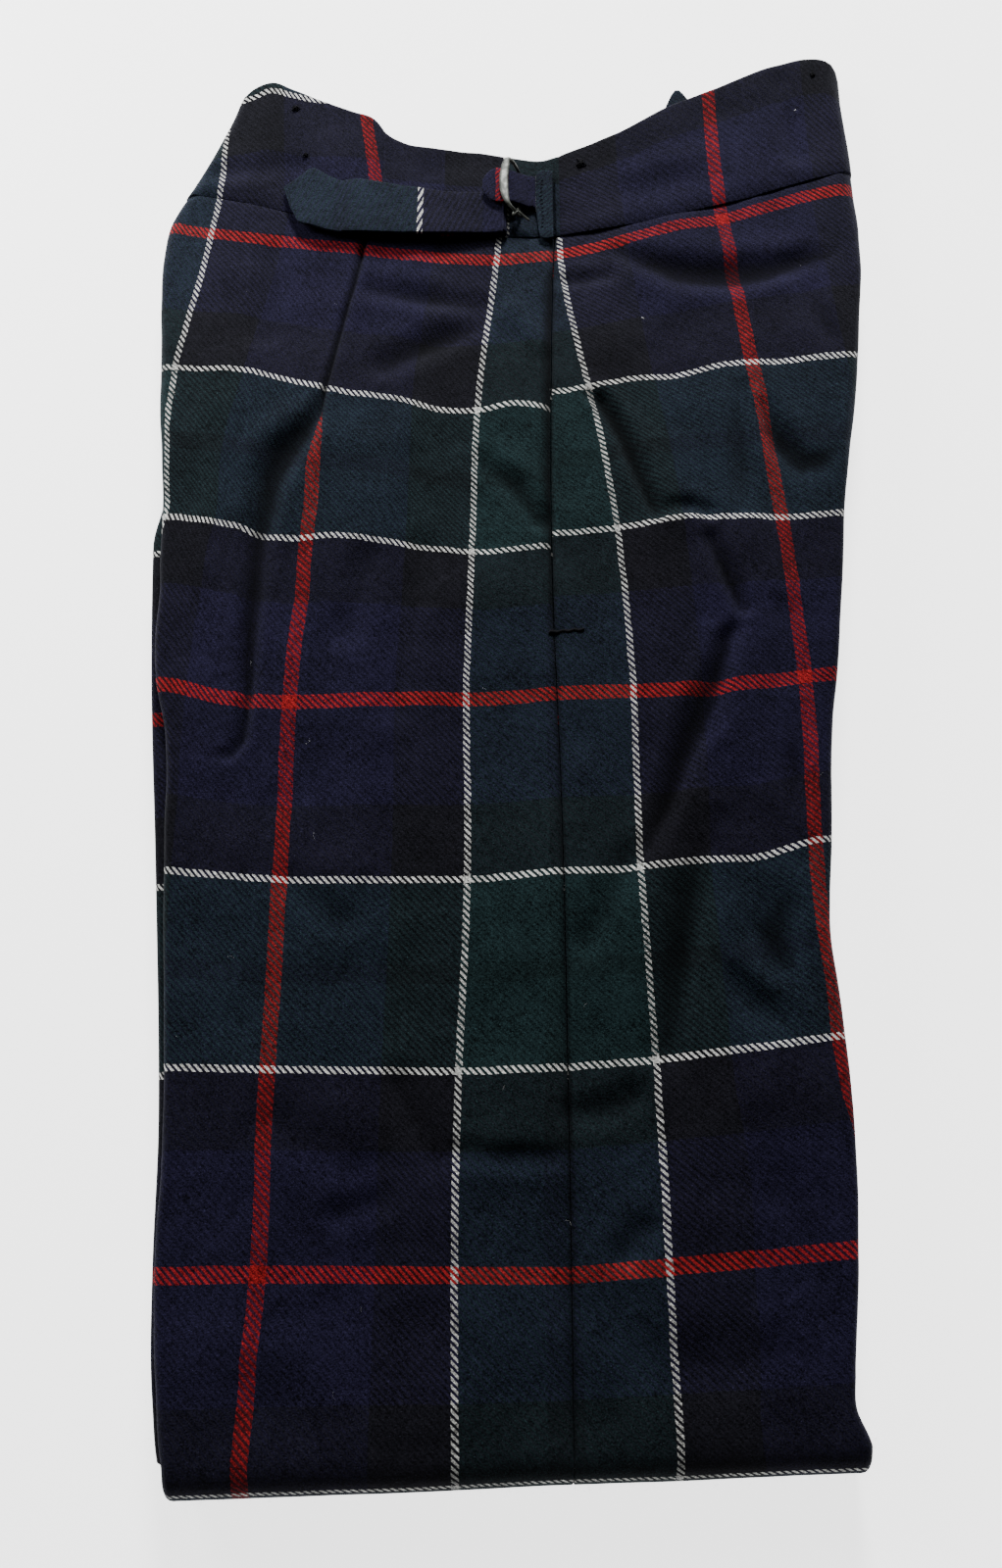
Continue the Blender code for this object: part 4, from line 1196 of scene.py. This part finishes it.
def lint(material):
    """Pale fibres and specks that have settled on the cloth."""
    chance = random.Random(11)
    fluff = Threads()
    (x, y), a = LOOP_AT, np.linspace(0.3, 5.6, 12)
    level = leg_face(x, y) + 0.5 + 0.25 * np.sin(2 * a)
    fluff.add(np.stack([x + 1.5 * np.cos(a), y + 1.7 * np.sin(a), level], axis=-1), 0.14)
    x, y = SPECK_AT
    level = float(band_face(x, y)) + 0.5
    fluff.add([(x - 0.3, y - 0.3, level), (x + 0.2, y + 0.1, level + 0.2), (x + 0.5, y + 0.3, level)], 0.3)
    for _ in range(FIBRE_COUNT):
        x, y = chance.uniform(-140, 140), chance.uniform(-300, 205)
        level, a, size = leg_face(x, y) + 0.25, chance.uniform(0, 6.28), chance.uniform(0.5, 1.8)
        bend = chance.uniform(-0.6, 0.6) * size
        t = np.array([-1, -0.4, 0.2, 0.6, 1])
        ahead, aside = size * t, bend * t * t
        dx, dy = math.cos(a), math.sin(a)
        path = np.stack([x + dx * ahead - dy * aside, y + dy * ahead + dx * aside, level + 0 * t], axis=-1)
        fluff.add(path, chance.uniform(0.015, 0.03), 3)
    return fluff.piece("lint", material)


def nap(pieces, material):
    """Short wool fibres that stand off the cloth, thickest where its edges are seen against the surface."""
    chance = random.Random(7)
    fibres = Threads()
    for piece, count in pieces:
        data = piece.data
        polygons = [p for p in data.polygons if p.normal.z > -0.35]
        edges = [p for p in polygons if p.normal.z < 0.75]
        for _ in range(count):
            polygon = chance.choice(edges if edges and chance.random() < 0.8 else polygons)
            start = np.array(polygon.center) / MM
            out = np.array(polygon.normal) + np.array([chance.gauss(0, 0.7) for _ in range(3)])
            out /= np.linalg.norm(out)
            sag = np.array([chance.gauss(0, 0.5) for _ in range(3)])
            size = chance.uniform(0.4, 1.5)
            start = start + np.array([chance.gauss(0, 1.2), chance.gauss(0, 1.2), -0.1])
            path = [start + out * size * t + sag * size * t * t for t in (0, 0.35, 0.7, 1)]
            fibres.add(path, 0.035, 3, taper=True)
    return fibres.piece("nap", material)


# How clearly the twill shows between dark yarns; how far the light and shade painted on the twill's floats,
# and the fibres, tufts and clouds, change the tone; and how far the shade painted into creases, seams and the
# dart darkens it
TWILL_CLEAR = 0.40
TWILL_SHADE, FIBRE_TONE, TUFT_TONE, CLOUD_TONE = 0.34, 3.8, 1.4, 1.1
CREASE_SHADE = 0.78
# The range that the lines sway over, in millimetres, and how bright red counts where white counts as 1
SWAY, RED_SHARE = 0.9, 0.62
# Sizes of the noise that sways the lines and that makes fibres, tufts, clouds and flecks, in millimetres
SWAY_SIZE, FIBRE_SIZE, TUFT_SIZE, CLOUD_SIZE, FLECK_SIZE = 5.0, 0.7, 2.6, 26.0, 0.5
# The least tone, the noise from which a fleck shows, and how much it adds
LEAST_TONE, FLECK_FROM, FLECK_TONE = 0.15, 0.64, 18.0
# Shares of the twill's ribs and of the fibres in the bump, and its depth in millimetres and its strength
RIB_BUMP, FIBRE_BUMP, BUMP_DEPTH, BUMP_STRENGTH = -0.25, 2.2, 0.16, 0.8


def grey(level):
    return (level, level, level, 1.0)


class Nodes:
    """Short ways to add and join shader nodes."""

    def __init__(self, name):
        self.material = bpy.data.materials.new(name)
        self.material.use_nodes = True
        self.tree = self.material.node_tree
        self.shader = self.tree.nodes["Principled BSDF"]

    def put(self, value, socket):
        if isinstance(value, bpy.types.NodeSocket):
            self.tree.links.new(value, socket)
        else:
            socket.default_value = value

    def fill(self, node, **values):
        """Set or join a node's sockets by name. An underscore stands for a space."""
        for name, value in values.items():
            self.put(value, node.inputs[name.replace("_", " ")])

    def add(self, kind, output=0, **values):
        node = self.tree.nodes.new("ShaderNode" + kind)
        self.fill(node, **values)
        return node.outputs[output]

    def maths(self, operation, *values):
        node = self.tree.nodes.new("ShaderNodeMath")
        node.operation = operation
        for value, socket in zip(values, node.inputs):
            self.put(value, socket)
        return node.outputs[0]

    def plus(self, a, b):
        return self.maths("ADD", a, b)

    def less(self, a, b):
        return self.maths("SUBTRACT", a, b)

    def times(self, a, b):
        return self.maths("MULTIPLY", a, b)

    def larger(self, a, b):
        return self.maths("MAXIMUM", a, b)

    def mix(self, share, a, b, blend="MIX"):
        node = self.tree.nodes.new("ShaderNodeMix")
        node.data_type, node.blend_type = "RGBA", blend
        for value, socket in ((share, 0), (a, 6), (b, 7)):
            self.put(value, node.inputs[socket])
        return node.outputs[2]

    def noise(self, place, size, detail=2.0):
        """Noise from 0 to 1 whose waves are about that many millimetres long."""
        return self.add("TexNoise", "Fac", Scale=1 / (size * MM), Detail=detail, Vector=place)

    def ramp(self, place, stops, interpolation="CONSTANT"):
        node = self.tree.nodes.new("ShaderNodeValToRGB")
        node.color_ramp.interpolation = interpolation
        elements = node.color_ramp.elements
        while len(elements) > 1:
            elements.remove(elements[-1])
        elements[0].position, elements[0].color = stops[0]
        for position, colour in stops[1:]:
            elements.new(position).color = colour
        self.put(place, node.inputs[0])
        return node.outputs[0]

    def tone(self, value):
        return self.add("CombineColor", Red=value, Green=value, Blue=value)

    def bump(self, height, distance, strength=1.0):
        return self.add("Bump", Strength=strength, Distance=distance * MM, Height=height)

    def where(self):
        return self.add("TexCoord", "Object")


def tartan():
    """A 2/2 twill in the sett's colours. The UV map holds the place in the sett, across and along."""
    n = Nodes("tartan twill")
    where = n.where()
    cloth = n.tree.nodes.new("ShaderNodeUVMap")
    cloth.uv_map = "cloth"
    parts = n.tree.nodes.new("ShaderNodeSeparateXYZ")
    n.put(cloth.outputs[0], parts.inputs[0])
    sway = n.times(n.less(n.noise(where, SWAY_SIZE, 1.0), 0.5), SWAY / SETT)
    stops = [(at / SETT, (*YARN[name], 1.0)) for at, name in STRIPES]
    spans, threads, yarns, whites, reds = [], [], [], [], []
    for place in parts.outputs[:2]:
        span = n.times(n.plus(place, sway), SETT / THREAD)
        count = n.maths("FLOOR", span)
        spans.append(span)
        threads.append(count)
        middle = n.maths("FRACT", n.maths("DIVIDE", n.plus(count, 0.5), SETT / THREAD))
        yarns.append(n.ramp(middle, stops))
        for chosen, found in (("white", whites), ("red", reds)):
            marks = [(at / SETT, grey(float(name == chosen))) for at, name in STRIPES]
            found.append(n.ramp(middle, marks))
    leaning = n.maths("FLOORED_MODULO", n.less(threads[0], threads[1]), 4.0)
    slanted = n.maths("FLOORED_MODULO", n.less(*spans), 4.0)
    warp_up = n.maths("LESS_THAN", slanted, 2.0)
    # The nap hides most of the twill where two dark yarns cross, and less of it where one is bright
    bright = n.larger(n.larger(*whites), n.times(n.larger(*reds), RED_SHARE))
    clear = n.plus(n.times(bright, 1.0 - TWILL_CLEAR), TWILL_CLEAR)
    share = n.plus(n.times(n.less(warp_up, 0.5), clear), 0.5)
    colour = n.mix(share, yarns[1], yarns[0])

    fibre = n.noise(where, FIBRE_SIZE, 3.0)
    tuft = n.noise(where, TUFT_SIZE, 2.0)
    cloudy = n.noise(where, CLOUD_SIZE, 3.0)
    grain = n.plus(n.times(fibre, FIBRE_TONE), n.times(tuft, TUFT_TONE))
    shade = n.plus(grain, n.times(cloudy, CLOUD_TONE))
    shade = n.plus(shade, 1.0 - 0.5 * (FIBRE_TONE + TUFT_TONE + CLOUD_TONE))
    # Painted light and shade: weft floats lighter and warp floats darker, as light falling on the twill's
    # ribs would show
    shade = n.plus(shade, n.times(n.less(0.5, warp_up), TWILL_SHADE))
    shade = n.larger(shade, LEAST_TONE)
    fleck = n.larger(n.less(n.noise(where, FLECK_SIZE, 1.0), FLECK_FROM), 0.0)
    shade = n.plus(shade, n.times(fleck, FLECK_TONE))
    # Painted shade: the colour is darkened in the floors of creases, along the side seam, at the dart and at
    # the pocket mouth
    painted_shade = n.tree.nodes.new("ShaderNodeAttribute")
    painted_shade.attribute_name = "painted_shade"
    unshaded_share = n.less(1.0, n.times(painted_shade.outputs["Fac"], CREASE_SHADE))
    shade = n.times(shade, unshaded_share)
    colour = n.mix(1.0, colour, n.tone(shade), "MULTIPLY")
    n.fill(n.shader, Base_Color=colour, Roughness=0.95, Specular_IOR_Level=0.05)
    n.fill(n.shader, Sheen_Weight=0.035, Sheen_Roughness=0.5, Sheen_Tint=(0.8, 0.85, 1.0, 1.0))
    rib = n.maths("ABSOLUTE", n.less(leaning, 1.5))
    height = n.plus(n.times(rib, RIB_BUMP), n.times(fibre, FIBRE_BUMP))
    n.fill(n.shader, Normal=n.bump(height, BUMP_DEPTH, BUMP_STRENGTH))
    return n.material


def plain(name, dark, light, grain, roughness, metallic=0.0, bump=0.1, specular=0.3):
    """A material of two near colours mixed by fine noise."""
    n = Nodes(name)
    where = n.where()
    fine, broad = n.noise(where, grain, 3.0), n.noise(where, grain * 7)
    share = n.plus(n.times(fine, 0.8), n.times(broad, 0.2))
    n.fill(n.shader, Base_Color=n.mix(share, (*dark, 1.0), (*light, 1.0)), Roughness=roughness)
    n.fill(n.shader, Metallic=metallic, Specular_IOR_Level=specular)
    n.fill(n.shader, Normal=n.bump(n.noise(where, grain, 2.0), bump))
    return n.material


def worn_metal():
    """Nickel plate, dulled and greenish on its flat, with rubbed bright spots."""
    n = Nodes("buckle nickel")
    where = n.where()
    worn = n.ramp(n.noise(where, 3.5, 4.0), [(0.42, grey(0.0)), (0.62, grey(1.0))], "LINEAR")
    n.fill(n.shader, Base_Color=n.mix(worn, (0.030, 0.034, 0.028, 1.0), (0.085, 0.088, 0.078, 1.0)))
    n.fill(n.shader, Metallic=0.3, Specular_IOR_Level=0.3)
    n.fill(n.shader, Roughness=n.less(0.50, n.times(worn, 0.12)))
    n.fill(n.shader, Normal=n.bump(n.noise(where, 0.6, 3.0), 0.03))
    return n.material


def white_floor():
    n = Nodes("white surface")
    share = n.noise(n.where(), 300.0, 1.0)
    n.fill(n.shader, Base_Color=n.mix(share, grey(0.86), grey(0.88)), Roughness=0.9)
    n.fill(n.shader, Specular_IOR_Level=0.0, Emission_Color=grey(1.0), Emission_Strength=FLOOR_GLOW)
    return n.material


# Light and camera. The light comes from beyond the waist, so the strap and the creases cast short shadows.
CAMERA_AT = (-6.3, -188.0, 507.0)
CAMERA_TILT = 15.0
LENS, SENSOR = 27.0, 36.0
KEY_AT, KEY_SIZE, KEY_POWER = (60.0, 2000.0, 1100.0), 0.55, 100.0
FILL_AT, FILL_SIZE, FILL_POWER = (-620.0, 420.0, 420.0), 0.40, 5.0
LIGHT_AIM = (0.0, 20.0, 0.0)
SKY, FLOOR_GLOW, FLOOR_REACH, FLOOR_LEVEL = 0.06, 2.6, 2500, -0.2


def area_light(name, place, size, power):
    lamp = bpy.data.lights.new(name, "AREA")
    lamp.shape, lamp.size, lamp.energy = "DISK", size, power
    made = shown(name, lamp)
    made.location = Vector(place) * MM
    made.rotation_mode = "QUATERNION"
    made.rotation_quaternion = (Vector(LIGHT_AIM) - Vector(place)).to_track_quat("-Z", "Y")


def set_the_stage():
    world = bpy.data.worlds.new("white room")
    world.use_nodes = True
    world.node_tree.nodes["Background"].inputs[0].default_value = grey(1.0)
    world.node_tree.nodes["Background"].inputs[1].default_value = SKY
    bpy.context.scene.world = world
    area_light("window", KEY_AT, KEY_SIZE, KEY_POWER)
    area_light("ceiling", FILL_AT, FILL_SIZE, FILL_POWER)
    signs = ((-1, -1), (1, -1), (1, 1), (-1, 1))
    corners = [(x * FLOOR_REACH, y * FLOOR_REACH, FLOOR_LEVEL) for x, y in signs]
    floor = mesh_object("surface", corners, [(0, 1, 2, 3)], None, white_floor())
    data = bpy.data.cameras.new("camera")
    data.lens, data.sensor_fit, data.sensor_height = LENS, "VERTICAL", SENSOR
    data.clip_start, data.clip_end = 0.01, 20
    camera = shown("camera", data)
    camera.location = Vector(CAMERA_AT) * MM
    camera.rotation_euler = (math.radians(CAMERA_TILT), 0, 0)
    bpy.context.scene.camera = camera


# Fibres of the nap on the leg's two panels, the waistband's three near pieces, the strap and the tab
NAP_COUNTS = (900, 900, 260, 200, 300, 160, 60)


def main():
    cloth = tartan()
    sew = plain("sewing thread", (0.003, 0.003, 0.004), (0.008, 0.008, 0.010), 0.5, 0.9, specular=0.08)
    pale = plain("pale fibre", (0.35, 0.36, 0.38), (0.6, 0.6, 0.6), 0.8, 0.9)
    wool = plain("wool fibre", (0.02, 0.022, 0.03), (0.08, 0.085, 0.1), 0.8, 0.95)
    metal = worn_metal()

    side = float(read(SIDE_SEAM, "across", SIDE_WAIST))
    back = leg_cloth("back_leg_cloth", -1, cloth)
    front = leg_cloth("front_leg_cloth", 1, cloth)
    # Name, side of the turn, start, end, columns and place in the sett
    near_bands = (
        ("back_waistband_cloth", -1, BAND_JOIN + LAP, None, 34, back_band_cloth),
        ("side_waistband_cloth", 0, BAND_JOIN - LAP, side + LAP, 36, side_band_cloth),
        ("front_waistband_cloth", 1, side - LAP, None, 60, front_band_cloth),
    )
    back_band, side_band, front_band = (band_cloth(*row, cloth) for row in near_bands)
    far_band = far_band_cloth(cloth)
    inner = hidden_cloth(cloth)
    strap, tab = strap_cloth(cloth), tab_cloth(cloth)
    ring, pin = buckle_frame(metal), buckle_prong(metal)
    threads, fluff = sewing(sew), lint(pale)
    woolly = (back, front, back_band, side_band, front_band, strap, tab)
    fuzz = nap(zip(woolly, NAP_COUNTS), wool)

    # Piece, the node that it stands for, slot and, for cloth that shows, its flat size and area
    stand_ins = (
        (back, "back_leg_panel", "tartan_cloth", (0.225, 1.03), 0.200),
        (front, "front_leg_panel", "tartan_cloth", (0.185, 1.03), 0.155),
        (back_band, "back_waistband", "tartan_cloth", (0.130, 0.070), None),
        (side_band, "back_waistband_side", "tartan_cloth", (0.083, 0.050), None),
        (front_band, "front_waistband", "tartan_cloth", (0.200, 0.068), None),
        (far_band, "far_waistband", "tartan_cloth", (0.275, 0.072), 0.017),
        (inner, "hidden_layers", "hidden_cloth", None, None),
        (strap, "adjuster_strap", "strap_cloth", (0.032, 0.205), 0.0050),
        (tab, "buckle_tab", "strap_cloth", (0.044, 0.038), 0.00100),
        (ring, "buckle_frame", "buckle_metal", None, None),
        (pin, "buckle_prong", "buckle_metal", None, None),
    )
    for piece, node, slot, *_ in stand_ins:
        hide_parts(node)
    for piece in (*(row[0] for row in stand_ins), threads, fluff, fuzz):
        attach(piece, "root")
    set_the_stage()


main()
